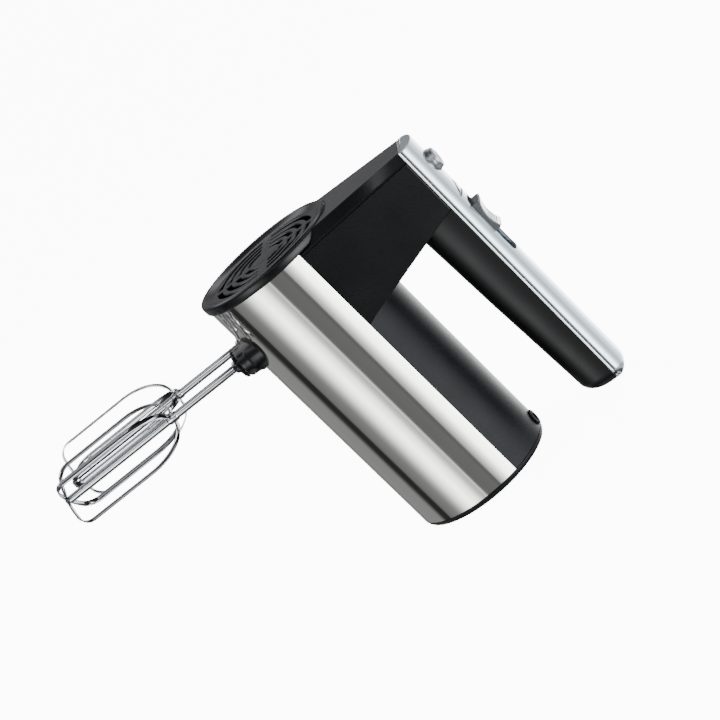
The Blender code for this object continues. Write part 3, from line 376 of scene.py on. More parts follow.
BLACK = Finish("satin_black_moulding", "black_plastic", (0.0066, 0.007, 0.008), 0.24, relief=0.0000015,
               gloss=0.25)
SHELL = Finish("soft_black_shell", "black_plastic", (0.0105, 0.0118, 0.0142), 0.36, relief=0.0000015,
               gloss=0.1)
GRIP = Finish("matt_black_grip", "grip_plastic", (0.0062, 0.0064, 0.007), 0.32, relief=0.000003, gloss=0.2)
BEZEL = Finish("dark_grey_bezel", "bezel_plastic", (0.0075, 0.0082, 0.0088), 0.24, relief=0.0000015,
               gloss=0.35)
SILVER = Finish("silver_paint_on_cover", "silver_paint", (0.5, 0.58, 0.635), 0.2, 0.85, fineness=1500.0,
                relief=0.000002, tone=0.05, smear=0.03, coat=0.35, speckle=0.12)
STEEL = Finish("polished_steel_sheet", "brushed_steel", (0.66, 0.65, 0.63), 0.075, 1.0, Grain.UPRIGHT,
               4200.0, 0.0000006, 0.06, 0.025)
CHROME = Chrome("chrome_with_painted_reflection", "chrome", (0.86, 0.88, 0.9), 0.06, 1.0, Grain.ALONG_BEATER, 900.0,
                0.0000008, 0.04, 0.025)
STRIP = Finish("bright_strip", "chrome", (0.74, 0.76, 0.79), 0.1, 1.0, Grain.UPRIGHT, 900.0, 0.0000008, 0.04)
BUTTON = Finish("satin_metal_button", "chrome", (0.42, 0.44, 0.47), 0.4, 1.0, fineness=1200.0,
                relief=0.000001, tone=0.05)
RUBBER = Finish("black_rubber", "rubber", (0.012, 0.012, 0.012), 0.75, relief=0.00003)
INNER = Finish("inner_moulding", "inner_plastic", (0.03, 0.03, 0.033), 0.55, relief=0.00002)
IRON = BandedFinish("stacked_laminations", "laminated_iron", (0.32, 0.32, 0.33), 0.42, 1.0,
                    fineness=9000.0, relief=0.0001, tone=0.3)
COPPER = BandedFinish("wound_copper", "copper", (0.66, 0.27, 0.12), 0.34, 1.0, fineness=12000.0,
                      relief=0.0002, tone=0.3, coat=0.4)
BRONZE = Finish("sintered_bronze", "bronze", (0.55, 0.38, 0.2), 0.45, 1.0, relief=0.00002)
CARBON = Finish("pressed_carbon", "carbon", (0.025, 0.025, 0.028), 0.5, relief=0.00002)
NYLON = Finish("natural_nylon", "nylon", (0.74, 0.71, 0.62), 0.42, tone=0.06, relief=0.00001)
SPRING = Finish("bright_spring_steel", "spring_steel", (0.5, 0.5, 0.51), 0.28, 1.0)
BOARD = Finish("green_circuit_board", "circuit_board", (0.03, 0.16, 0.07), 0.4, fineness=700.0,
               relief=0.00004, tone=0.35, coat=0.5)
TRACK = Finish("pale_switch_track", "bezel_plastic", (0.7, 0.73, 0.76), 0.4, tone=0.08)
KNOB = Finish("grey_knob_moulding", "bezel_plastic", (0.13, 0.14, 0.15), 0.3, 0.5, tone=0.08)
OUTLINE = Finish("dark_marker_outline", "silver_paint", (0.03, 0.034, 0.04), 0.35)
KNOB_TOP = Finish("silver_knob_top", "bezel_plastic", (0.72, 0.75, 0.78), 0.24, 0.6, tone=0.06, coat=0.3)

INNER_PARTS: dict[Finish, tuple[str, ...]] = {
    INNER: ("chassis", "post_frame", "switch_block", "gearbox_plate"),
    IRON: ("motor_stator", "armature_core"),
    COPPER: ("rear_field_coil", "front_field_coil", "armature_winding", "commutator"),
    BRONZE: ("rear_bearing", "front_bearing", "thrust_bearing", "left_brush_holder",
             "right_brush_holder", "left_bush", "right_bush"),
    CARBON: ("left_brush", "right_brush"),
    NYLON: ("cooling_fan", "left_gear", "right_gear", "slider_carrier", "eject_rod"),
    SPRING: ("left_spindle", "right_spindle", "left_plate_screw", "right_plate_screw",
             "eject_spring", "eject_yoke", "worm_shaft"),
    BOARD: ("control_board",),
}


# ---------------------------------------------------------------- mesh building

def lathe(profile: Sequence[Flat], axis: str = "Z", centre: Flat = (0.0, 0.0),
          sides: int = ROUND) -> bmesh.types.BMesh:
    """Turn (radius, height) points about an axis; a profile off the axis closes into a ring.

    Args:
        profile: the points to turn.
        axis: Z or X.
        centre: where the axis is, in the other two directions.
        sides: how many steps a turn has.

    Returns:
        The turned mesh.
    """
    bm = bmesh.new()
    rings = []
    for radius, height in profile:
        count = 1 if radius == 0 else sides
        ring = []
        for i in range(count):
            angle = 2 * math.pi * i / sides
            u = centre[0] + radius * math.cos(angle)
            v = centre[1] + radius * math.sin(angle)
            ring.append(bm.verts.new((u, v, height) if axis == "Z" else (height, u, v)))
        rings.append(ring)
    pairs = list(zip(rings, rings[1:]))
    if profile[0][0] > 0 and profile[-1][0] > 0:
        pairs.append((rings[-1], rings[0]))
    for low, high in pairs:
        for i in range(sides):
            corners = [low[i % len(low)], low[(i + 1) % len(low)],
                       high[(i + 1) % len(high)], high[i % len(high)]]
            unique = list(dict.fromkeys(corners))
            if len(unique) > 2:
                bm.faces.new(unique)
    return bm


def loft(sections: Sequence[Sequence[Point]]) -> bmesh.types.BMesh:
    """Join closed outlines that have the same count, and cap both ends.

    Args:
        sections: the outlines, in order.

    Returns:
        The closed mesh.
    """
    bm = bmesh.new()
    loops = [[bm.verts.new(point) for point in section] for section in sections]
    for low, high in zip(loops, loops[1:]):
        for i in range(len(low)):
            j = (i + 1) % len(low)
            bm.faces.new((low[i], low[j], high[j], high[i]))
    bm.faces.new(loops[0])
    bm.faces.new(loops[-1])
    return bm


def prism(outline: Sequence[Flat], low: float | Callable[[Flat], float],
          high: float | Callable[[Flat], float], axis: str = "Z") -> bmesh.types.BMesh:
    """Extrude an outline of (x, y) points along Z or of (y, z) points along X.

    Args:
        outline: the points.
        low: level of one end, or a function of the point.
        high: level of the other end.
        axis: Z or X.

    Returns:
        The closed mesh.
    """
    def place(point: Flat, height: float | Callable[[Flat], float]) -> Point:
        """Lift a point to a height, which may depend on the point."""
        level = height(point) if callable(height) else height
        return (point[0], point[1], level) if axis == "Z" else (level, point[0], point[1])
    return loft([[place(p, low) for p in outline], [place(p, high) for p in outline]])


def box(x: Flat, y: Flat, z: Flat) -> bmesh.types.BMesh:
    """Block between pairs of limits."""
    return prism([(x[0], y[0]), (x[1], y[0]), (x[1], y[1]), (x[0], y[1])], z[0], z[1])


def arc(radius: float, start: float, end: float, steps: int) -> list[Flat]:
    """Points on an arc; 0 degrees is -Y and 90 degrees is +X.

    Args:
        radius: radius of the arc.
        start: first angle.
        end: last angle.
        steps: how many steps it has.

    Returns:
        The (x, y) points.
    """
    angles = (math.radians(start + (end - start) * i / steps) for i in range(steps + 1))
    return [(radius * math.sin(a), -radius * math.cos(a)) for a in angles]


def sector(inner: float, outer: float, start: float, end: float, steps: int) -> list[Flat]:
    """Outline of a piece of a ring."""
    return arc(outer, start, end, steps) + arc(inner, end, start, steps)


def rounded(half: float, low: float, high: float, corner: float, steps: int = 10) -> list[Flat]:
    """Outline of a rounded rectangle, symmetric about the first axis.

    Args:
        half: half of the width.
        low: lower edge.
        high: upper edge.
        corner: radius of the corners.
        steps: steps in each corner.

    Returns:
        The points, in order.
    """
    points = []
    for u, v, start in ((half - corner, low + corner, 270), (half - corner, high - corner, 0),
                        (corner - half, high - corner, 90), (corner - half, low + corner, 180)):
        for i in range(steps + 1):
            angle = math.radians(start + 90 * i / steps)
            points.append((u + corner * math.cos(angle), v + corner * math.sin(angle)))
    return points


def lean(bm: bmesh.types.BMesh) -> bmesh.types.BMesh:
    """Shear a mesh made about the upright axis onto the leaning one.

    Args:
        bm: the mesh, which is changed.

    Returns:
        The same mesh.
    """
    shear = Matrix(((1, 0, LEAN, 0), (0, 1, 0, 0), (0, 0, 1, 0), (0, 0, 0, 1)))
    bmesh.ops.transform(bm, matrix=shear, verts=bm.verts)
    return bm


def together(meshes: Iterable[bmesh.types.BMesh]) -> bmesh.types.BMesh:
    """Put several meshes into one.

    Args:
        meshes: the meshes, which are freed.

    Returns:
        The whole.
    """
    whole = bmesh.new()
    for bm in meshes:
        bmesh.ops.recalc_face_normals(bm, faces=bm.faces)
        copies = {vert: whole.verts.new(vert.co) for vert in bm.verts}
        for face in bm.faces:
            whole.faces.new([copies[vert] for vert in face.verts])
        bm.free()
    return whole


def _object(name: str, bm: bmesh.types.BMesh) -> bpy.types.Object:
    """Turn a mesh in millimetres into an object in metres.

    Args:
        name: the object's name.
        bm: the mesh, which is freed.

    Returns:
        The object, in the scene.
    """
    bmesh.ops.recalc_face_normals(bm, faces=bm.faces)
    bmesh.ops.scale(bm, vec=(MM, MM, MM), verts=bm.verts)
    mesh = bpy.data.meshes.new(name)
    bm.to_mesh(mesh)
    bm.free()
    made = bpy.data.objects.new(name, mesh)
    bpy.context.scene.collection.objects.link(made)
    return made


@dataclass
class Piece:
    """A finished piece of the mixer.

    Attributes:
        name: the object's name.
        mesh: its shape in millimetres.
        finish: what it is made of.
        body: the body that carries it.
        stands_for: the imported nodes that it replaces.
        bevel: width of its edge rounding.
        cuts: shapes that are cut out of it, in order.
        sharp: angle from which an edge stays sharp.
    """

    name: str
    mesh: bmesh.types.BMesh
    finish: Finish
    body: Body
    stands_for: tuple[str, ...] = ()
    bevel: float = 0.0
    cuts: tuple[bmesh.types.BMesh, ...] = ()
    sharp: float = 32.0

    def build(self) -> bpy.types.Object:
        """Make the object, cut it, round its edges and hang it on its body.

        Returns:
            The object.
        """
        made = _object(self.name, self.mesh)
        helpers = []
        for index, cutter in enumerate(self.cuts):
            helper = _object(f"{self.name}_cutter_{index}", cutter)
            helpers.append(helper)
            modifier = made.modifiers.new("cut", "BOOLEAN")
            modifier.object = helper
            modifier.solver = "EXACT"
        if self.bevel:
            bevel = made.modifiers.new("rounding", "BEVEL")
            bevel.width = self.bevel * MM
            bevel.segments = 3
            bevel.limit_method = "ANGLE"
            bevel.angle_limit = math.radians(self.sharp)
        self._settle(made, helpers)
        made.data.materials.clear()
        made.data.materials.append(self.finish.make())
        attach(made, self.body.value)
        if self.stands_for:
            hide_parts(*self.stands_for)
        LOG.info("%s: %d faces on %s", self.name, len(made.data.polygons), self.body.value)
        return made

    def _settle(self, made: bpy.types.Object, helpers: list[bpy.types.Object]) -> None:
        """Apply the modifiers, shade the mesh and drop the cutters.

        Args:
            made: the object.
            helpers: the cutters.
        """
        self._apply(made)
        for helper in helpers:
            bpy.data.objects.remove(helper, do_unlink=True)
        made.data.shade_smooth()
        made.data.set_sharp_from_angle(angle=math.radians(self.sharp + 4 if self.bevel else self.sharp))
        if self.bevel:
            flatten = made.modifiers.new("flat faces", "WEIGHTED_NORMAL")
            flatten.keep_sharp = True
            flatten.weight = 100
            self._apply(made)

    @staticmethod
    def _apply(made: bpy.types.Object) -> None:
        """Make the modifiers' result the object's own mesh.

        Args:
            made: the object.
        """
        if made.modifiers:
            graph = bpy.context.evaluated_depsgraph_get()
            made.data = bpy.data.meshes.new_from_object(made.evaluated_get(graph))
            made.modifiers.clear()


# ---------------------------------------------------------------- casing

@dataclass
class Casing:
    """The drum: grille, steel sleeve, rear shell, heel cap, pad and cord gland."""

    radius: float = 45.5
    length: float = 190.9
    steel_wall: float = 0.9
    edge_angle: float = 32.7
    shell_wall: float = 2.2
    heel_rim: float = 4.5
    rim_height: float = 6.2
    rim_radius: float = 47.1
    disc_radius: float = 37.0
    recess: float = 2.4
    slot_width: float = 3.4
    rings: int = 4
    spindle_z: float = 151.7
    half_spacing: float = 18.5
    boss_radius: float = 10.0
    boss_end: float = -59.6

    @property
    def sleeve_z(self) -> Flat:
        """Lower and upper edge of the steel."""
        return self.heel_rim + GAP, self.length - self.rim_height - GAP

    def grille(self) -> bmesh.types.BMesh:
        """Raised rim, dished ring and rounded ribs, held by two cross bars.

        Returns:
            The mesh.
        """
        top, base = self.length, self.length - self.rim_height
        face, bottom = top - self.recess, top - self.recess - 2.0
        spigot = self.radius - self.shell_wall - GAP
        inside = spigot - self.shell_wall
        outer_slot = self.disc_radius - 1.4
        rim = [(outer_slot, bottom + 0.3), (outer_slot + 0.3, bottom), (inside, base), (inside, base - 6.0),
               (spigot, base - 6.0), (spigot, base)]
        rim += [(self.rim_radius - 0.8, base), (self.rim_radius - 0.25, base + 0.25),
                (self.rim_radius, base + 0.8), (self.rim_radius, top - 2.0)]
        rim += [(self.rim_radius - 2.0 + 2.0 * math.cos(a), top - 2.0 + 2.0 * math.sin(a))
                for a in (math.radians(15 * i) for i in range(1, 7))]
        rim += [(self.rim_radius - 3.6, top - 0.05), (self.rim_radius - 4.3, top - 0.35),
                (self.disc_radius + 2.6, face + 0.35), (self.disc_radius + 1.0, face + 0.05),
                (outer_slot + 0.4, face), (outer_slot, face - 0.4)]
        pieces = [lathe(rim)]
        pitch = (self.disc_radius - 2.0) / (self.rings + 1)
        for i in range(self.rings - 1):
            high = outer_slot - pitch * i - self.slot_width
            low = outer_slot - pitch * (i + 1)
            rib = [(low, bottom), (high, bottom), (high, face - 0.6), (high - 0.5, face - 0.1),
                   (high - 1.1, face), (low + 1.1, face), (low + 0.5, face - 0.1), (low, face - 0.6)]
            pieces.append(lathe(rib))
        hub = outer_slot - pitch * (self.rings - 1) - self.slot_width
        pieces.append(lathe([(0, bottom), (hub, bottom), (hub, face - 0.6), (hub - 0.5, face - 0.1),
                             (hub - 1.1, face), (0, face)]))
        for half, across in ((3.5, True), (2.0, False)):
            bar = [(-half, bottom), (half, bottom), (half, face - 0.5), (half - 0.5, face - 0.02),
                   (0.5 - half, face - 0.02), (-half, face - 0.5)]
            reach = outer_slot + 0.6
            ends = [[(u, s * reach, z) if across else (s * reach, u, z) for u, z in bar] for s in (-1, 1)]
            pieces.append(loft(ends))
        return lean(together(pieces))

    @staticmethod
    def gland_hole() -> bmesh.types.BMesh:
        """Cutter for the gland at the heel."""
        return lathe([(0, 30.0), (4.3, 30.0), (4.3, 60.0), (0, 60.0)], "X", (0.0, 10.3), 48)

    def sleeve(self) -> Piece:
        """Steel sheet with a hole for each boss.

        Returns:
            The piece.
        """
        outline = sector(self.radius - self.steel_wall, self.radius,
                         -180 - self.edge_angle, self.edge_angle, 180)
        holes = [lathe([(0, self.boss_end), (self.boss_radius + GAP, self.boss_end),
                        (self.boss_radius + GAP, -30.0), (0, -30.0)], "X",
                       (side * self.half_spacing, self.spindle_z), 64) for side in (-1, 1)]
        return Piece("steel_drum_sheet", lean(prism(outline, *self.sleeve_z)), STEEL, Body.HOUSING,
                     ("steel_sleeve",), cuts=(together(holes),), sharp=50.0)

    def shell(self) -> Piece:
        """Moulded shell along the top of the drum.

        Returns:
            The piece.
        """
        edge = self.edge_angle + 0.5
        outline = sector(self.radius - self.shell_wall, self.radius, edge, 180 - edge, 90)
        high = lambda p: 127.2 + 0.235 * (p[0] - 24.58) - GAP
        return Piece("rear_top_shell", lean(prism(outline, self.sleeve_z[0], high)), SHELL, Body.HOUSING,
                     ("rear_shell",), 0.35, (self.gland_hole(),), 40.0)

    def heel(self) -> list[Piece]:
        """Heel cap with its air slots, the pad and the gland.

        Returns:
            The three pieces.
        """
        spigot = self.radius - self.shell_wall - GAP
        inside = spigot - self.shell_wall
        pad = self.radius - 14.5
        step = self.heel_rim + 6.0
        profile = [(0, 2.3), (pad + GAP, 2.3), (pad + GAP, 0.7), (pad + 0.6, 0.4)]
        profile += [(self.radius - 3.4, 0.4), (self.radius - 2.2, 0.6), (self.radius - 1.1, 1.2),
                    (self.radius - 0.4, 2.2), (self.radius, 3.4), (self.radius, self.heel_rim - 0.2),
                    (self.radius - 0.2, self.heel_rim), (spigot, self.heel_rim), (spigot, step),
                    (inside, step), (inside, self.heel_rim), (0, self.heel_rim)]
        slots = [lean(prism(sector(pad + 3, inside - 1, 60 * i + 8, 60 * i + 52, 24), -1.0, 6.0))
                 for i in range(6)]
        cap = Piece("heel_end_cap", lean(lathe(profile)), SHELL, Body.HOUSING, ("heel_cap",),
                    cuts=(together([*slots, self.gland_hole()]),))
        grooves = [(0, 0.0)]
        for r in (8.0, 14.0, 20.0, 26.0):
            grooves += [(r - 0.6, 0.0), (r - 0.4, 0.35), (r + 0.4, 0.35), (r + 0.6, 0.0)]
        grooves += [(pad - 0.6, 0.0), (pad - 0.15, 0.15), (pad, 0.6), (pad, 2.0), (0, 2.0)]
        foot = Piece("rubber_heel_pad", lathe(grooves), RUBBER, Body.HOUSING, ("heel_pad",))
        top = self.radius
        gland = [(4.0, top - 4.0), (4.0, top + 0.3), (5.2, top + 0.3), (5.4, top + 0.6), (5.1, top + 1.1),
                 (4.6, top + 1.3), (3.2, top + 1.3), (2.8, top + 0.9), (2.8, top - 4.0)]
        ring = Piece("cord_gland_ring", lean(lathe(gland, "X", (0.0, 10.3), 64)), RUBBER, Body.HOUSING,
                     ("cord_gland",))
        return [cap, foot, ring]

    def bosses(self) -> list[Piece]:
        """Flared sleeves over the two spindle bosses.

        Returns:
            The two pieces.
        """
        pieces = []
        for name, side in (("left", -1), ("right", 1)):
            end = self.boss_end
            profile = [(8.5, end + 0.4), (8.5, end - 0.15), (9.4, end - 0.15), (9.95, end + 0.15),
                       (10.15, end + 0.7), (10.2, end + 2.4), (10.3, end + 4.0), (10.5, end + 5.4),
                       (10.85, end + 6.5), (11.4, end + 7.4),
                       (11.4, end + 18.0), (10.2, end + 18.0), (10.2, end + 12.0), (10.02, end + 11.0),
                       (10.02, end + 0.4)]
            centre = (side * self.half_spacing, self.spindle_z)
            pieces.append(Piece(f"{name}_boss_sleeve", lathe(profile, "X", centre, 96), BLACK, Body.HOUSING))
        return pieces

    def build(self) -> None:
        """Make every piece of the drum."""
        Piece("air_grille", self.grille(), BLACK, Body.HOUSING, ("front_grille",)).build()
        for piece in [self.sleeve(), self.shell(), *self.heel(), *self.bosses()]:
            piece.build()


# ---------------------------------------------------------------- post

@dataclass
class Post:
    """The column between the drum and the handle: two cheeks and the front bezel."""

    low: float = 24.58 + GAP
    high: float = 101.0
    edge: float = 24.58
    half_low: float = 38.19
    half_high: float = 17.1
    face_low: float = 30.39
    face_high: float = 15.6
    front: float = 189.4
    depth: float = 7.0
    wall: float = 2.2

    def _share(self, x: float) -> float:
        """How far up the post a height is."""
        return (x - self.edge) / (self.high - self.edge)

    def half(self, x: float) -> float:
        """Half-width of the side faces at a height."""
        return self.half_low + (self.half_high - self.half_low) * self._share(x)

    def face(self, x: float) -> float:
        """Half-width of the front face at a height."""
        return self.face_low + (self.face_high - self.face_low) * self._share(x)

    def cheek(self, side: int) -> bmesh.types.BMesh:
        """One side wall, with its rear edge slanted.

        Args:
            side: -1 for the left, 1 for the right.

        Returns:
            The mesh.
        """
        def section(x: float) -> list[Point]:
            """Outline of the wall at one height."""
            back, front = 127.2 + 0.235 * (x - self.edge), self.front - self.depth - GAP
            outer, inner = side * self.half(x), side * (self.half(x) - self.wall)
            return [(x, outer, back), (x, outer, front), (x, inner, front), (x, inner, back)]
        return lean(loft([section(self.low), section(self.high)]))

    def bezel(self) -> bmesh.types.BMesh:
        """Front face with flat flanks that meet the cheeks.

        Returns:
            The mesh.
        """
        def section(x: float) -> list[Point]:
            """Outline at one height, across the front and back along the inside."""
            wide, face = self.half(x), self.face(x)
            flank = [(x, wide, self.front - self.depth), (x, wide - 0.2, self.front - self.depth + 1.2),
                     (x, face, self.front)]
            inner = [(x, face - 1.6, self.front - self.wall), (x, wide - self.wall, self.front - self.depth)]
            mirror = [(p[0], -p[1], p[2]) for p in reversed(flank)]
            inside = [(p[0], -p[1], p[2]) for p in reversed(inner)]
            return flank + mirror + inside + inner
        steps = [self.low + (self.high - self.low) * i / 12 for i in range(13)]
        return lean(loft([section(x) for x in steps]))

    def build(self) -> None:
        """Make both cheeks and the bezel."""
        for name, side in (("left", -1), ("right", 1)):
            Piece(f"{name}_post_cheek", self.cheek(side), BLACK, Body.HOUSING, (f"{name}_cheek",),
                  0.5).build()
        rim = [(0, 175.0), (43.3, 175.0), (43.3, 184.4), (47.4, 184.4), (47.4, 196.0), (0, 196.0)]
        Piece("post_front_bezel", self.bezel(), BEZEL, Body.HOUSING, ("front_bezel",), 0.25,
              (lean(lathe(rim)),), 22.0).build()


# ---------------------------------------------------------------- handle

@dataclass
class Handle:
    """Grip, bright strip, arched cover and the marker in it."""

    seam: float = 101.0
    half_width: float = 17.1
    trim: float = 1.6
    proud: float = 0.4
    rise: float = 7.4
    wall: float = 2.2
    cover_wall: float = 1.6
    depth_front: float = 27.0
    depth_back: float = 20.3
    end: float = 3.0
    round_off: float = 8.0
    front: float = 189.4
    post_back: float = 127.2
    slot: tuple[float, float, float, float] = (9.0, 100.0, 142.0, 4.5)
    button_z: float = 170.5
    apex: float = 154.5
    marker_half: float = 10.0
    stations: list[float] = field(default_factory=list)

    def __post_init__(self) -> None:
        """Space the sections closely round the free end."""
        shares = [(1 - math.cos(math.pi / 2 * i / 12)) for i in range(13)]
        self.stations = [self.end + self.round_off * share for share in shares]

    @property
    def base(self) -> float:
        """Underside of the cover."""
        return self.seam + GAP + self.trim + GAP

    @property
    def crest(self) -> float:
        """Top of the arched cover."""
        return self.base + self.rise

    def full(self, z: float) -> float:
        """How full the handle is near its free end.

        Args:
            z: place along the handle.

        Returns:
            A share from 0 at the end to 1.
        """
        reach = min(1.0, max(0.0, (z - self.end) / self.round_off))
        return math.sqrt(1 - (1 - reach) ** 2)

    def half(self, z: float) -> float:
        """Half-width at the seam."""
        return self.half_width * (0.72 + 0.28 * self.full(z))

    def u_section(self, z: float, depth: float, wall: float = 0.0, top: float = 0.0,
                  slant: bool = False) -> list[Point]:
        """Section of the grip from seam to seam.

        Args:
            z: place along the handle.
            depth: how deep the grip is there.
            wall: how far inside the surface to stay.
            top: how far above the seam to reach.
            slant: whether the section follows the post.

        Returns:
            The points, in order.
        """
        half = self.half(z) - wall
        reach = depth * (0.55 + 0.45 * self.full(z)) - wall
        points = []
        for i in range(49):
            angle = math.pi * i / 48
            across = math.copysign(abs(math.cos(angle)) ** 0.72, math.cos(angle))
            x = self.seam - reach * max(0.0, math.sin(angle)) ** 0.72
            level = self.post_back + 0.235 * (x - 24.58) - GAP if slant else z
            points.append((x, half * across, level))
        if top:
            points[0] = (self.seam + top, half, points[0][2])
            points[-1] = (self.seam + top, -half, points[-1][2])
        return points

    def grip(self) -> Piece:
        """Hollow grip with a rounded free end.

        Returns:
            The piece.
        """
        run = self.post_back - self.end

        def depth(z: float) -> float:
            """Depth of the grip at a place along it."""
            return self.depth_back + (self.depth_front - self.depth_back) * (z - self.end) / run

        stations = self.stations + [self.end + 40.0, self.end + 80.0]
        outer = [self.u_section(z, depth(z)) for z in stations]
        outer.append(self.u_section(self.post_back, self.depth_front, slant=True))
        inner = [self.u_section(z + self.wall, depth(z), self.wall, 3.0) for z in stations]
        inner.append(self.u_section(self.post_back + 40.0, self.depth_front, self.wall, 3.0))
        return Piece("grip_underside", lean(loft(outer)), GRIP, Body.HOUSING, ("grip_shell",), 0.3,
                     (lean(loft(inner)),), 48.0)

    def strip(self) -> Piece:
        """Bright bead between the grip and the cover.

        Returns:
            The piece.
        """
        def outline(offset: float, height: float) -> list[Point]:
            """The handle's plan, grown by an offset."""
            side = [(self.half(z) + offset, z) for z in self.stations]
            side[0] = (side[0][0] - offset, self.end - offset)
            right = side + [(self.half_width + offset, self.front - 0.2)]
            plan = right + [(-y, z) for y, z in reversed(right)]
            return [(height, y, z) for y, z in plan]
        low = self.seam + GAP
        rows = [(-0.35, 0.0), (self.proud * 0.4, 0.25), (self.proud, 0.65), (self.proud, 0.95),
                (self.proud * 0.4, 1.35), (-0.35, self.trim)]
        hollow = rounded(self.half_width - 2.4, self.end + 3.0, self.front - 3.0, 4.0)
        return Piece("bright_side_strip", lean(loft([outline(o, low + h) for o, h in rows])), STRIP,
                     Body.HOUSING, ("handle_trim",),
                     cuts=(lean(prism(hollow, self.seam - 2.0, self.seam + 6.0, "X")),))

    def arch(self, z: float, wall: float = 0.0, drop: float = 0.0, shrink: float = 0.0) -> list[Point]:
        """Section of the cover.

        Args:
            z: place along the handle.
            wall: how far inside the surface to stay.
            drop: how far below the base to reach.
            shrink: how much smaller the section is.

        Returns:
            The points, in order.
        """
        half = self.half(z) - wall - shrink
        rise = self.rise * (0.3 + 0.7 * self.full(z)) - wall - shrink
        points = [(self.base - drop, half, z), (self.base - drop, -half, z)] if drop else []
        for i in range(48):
            angle = math.pi * (1 - i / 47)
            points.append((self.base + rise * math.sin(angle), half * math.cos(angle), z))
        return points

    def marker(self, grow: float) -> list[Flat]:
        """Rounded triangle that points to the front.

        Args:
            grow: how far the edges are moved out.

        Returns:
            The (y, z) points.
        """
        base = self.apex - 8.7
        middle = (self.apex + 2 * base) / 3
        corners = [Vector((0.0, self.apex)), Vector((-self.marker_half, base)), Vector((self.marker_half, base))]
        points = []
        for i, corner in enumerate(corners):
            before, after = corners[i - 1], corners[(i + 1) % 3]
            start = corner + (before - corner).normalized() * 1.2
            end = corner + (after - corner).normalized() * 1.2
            for k in range(6):
                share = k / 5
                place = (1 - share) ** 2 * start + 2 * share * (1 - share) * corner + share ** 2 * end
                points.append(place)
        bowed = []
        for i, place in enumerate(points):
            bowed.append(place)
            after = points[(i + 1) % len(points)]
            if (after - place).length > 3.0:
                for k in range(1, 8):
                    bowed.append(place.lerp(after, k / 8))
        scale = 1 + grow / 3.0
        return [(p.x * scale, middle + (p.y - middle) * scale) for p in bowed]

    def cover(self) -> Piece:
        """Arched cover with openings for the switch, the marker and the button.

        Returns:
            The piece.
        """
        stations = self.stations + [60.0, 120.0, self.front - 0.9]
        rows = [self.arch(z) for z in stations]
        rows += [self.arch(self.front - 0.25, shrink=0.12), self.arch(self.front, shrink=0.5)]
        inner = [self.arch(z, self.cover_wall, 2.0)
                 for z in (self.end + self.round_off * 0.45, self.end + self.round_off,
                           self.front - self.cover_wall)]
        half, low, high, corner = self.slot
        openings = [lean(prism(rounded(half, low, high, corner), self.seam, self.crest + 4, "X")),
                    lean(prism(self.marker(GAP), self.seam, self.crest + 4, "X")),
                    lathe([(0, 80.0), (7.7, 80.0), (7.7, 120.0), (0, 120.0)], "X", (0.0, self.button_z), 96)]
        return Piece("silver_handle_cover", lean(loft(rows)), SILVER, Body.HOUSING, ("handle_cover",), 0.16,
                     (lean(loft(inner)), together(openings)), 40.0)

    def lens(self) -> list[Piece]:
        """Marker laid flush in the cover, on a dark base that outlines it.

        Returns:
            The marker and its base.
        """
        def surface(offset: float, grow: float) -> list[Point]:
            """The triangle on the arch, shrunk or grown."""
            flat = self.marker(grow)
            return [(self.base + self.rise * math.sqrt(1 - (y / self.half_width) ** 2) + offset, y, z)
                    for y, z in flat]
        return [Piece("triangle_marker", lean(loft([surface(-0.6, -1.3), surface(0.05, -1.3)])), SILVER,
                      Body.HOUSING, ("marker_lens",), 0.12),
                Piece("triangle_marker_base", lean(loft([surface(-1.2, 0.0), surface(-0.03, 0.0)])), OUTLINE,
                      Body.HOUSING, ("marker_lens",))]

    def build(self) -> None:
        """Make every piece of the handle."""
        for piece in (self.grip(), self.strip(), self.cover(), *self.lens()):
            piece.build()


# ---------------------------------------------------------------- controls

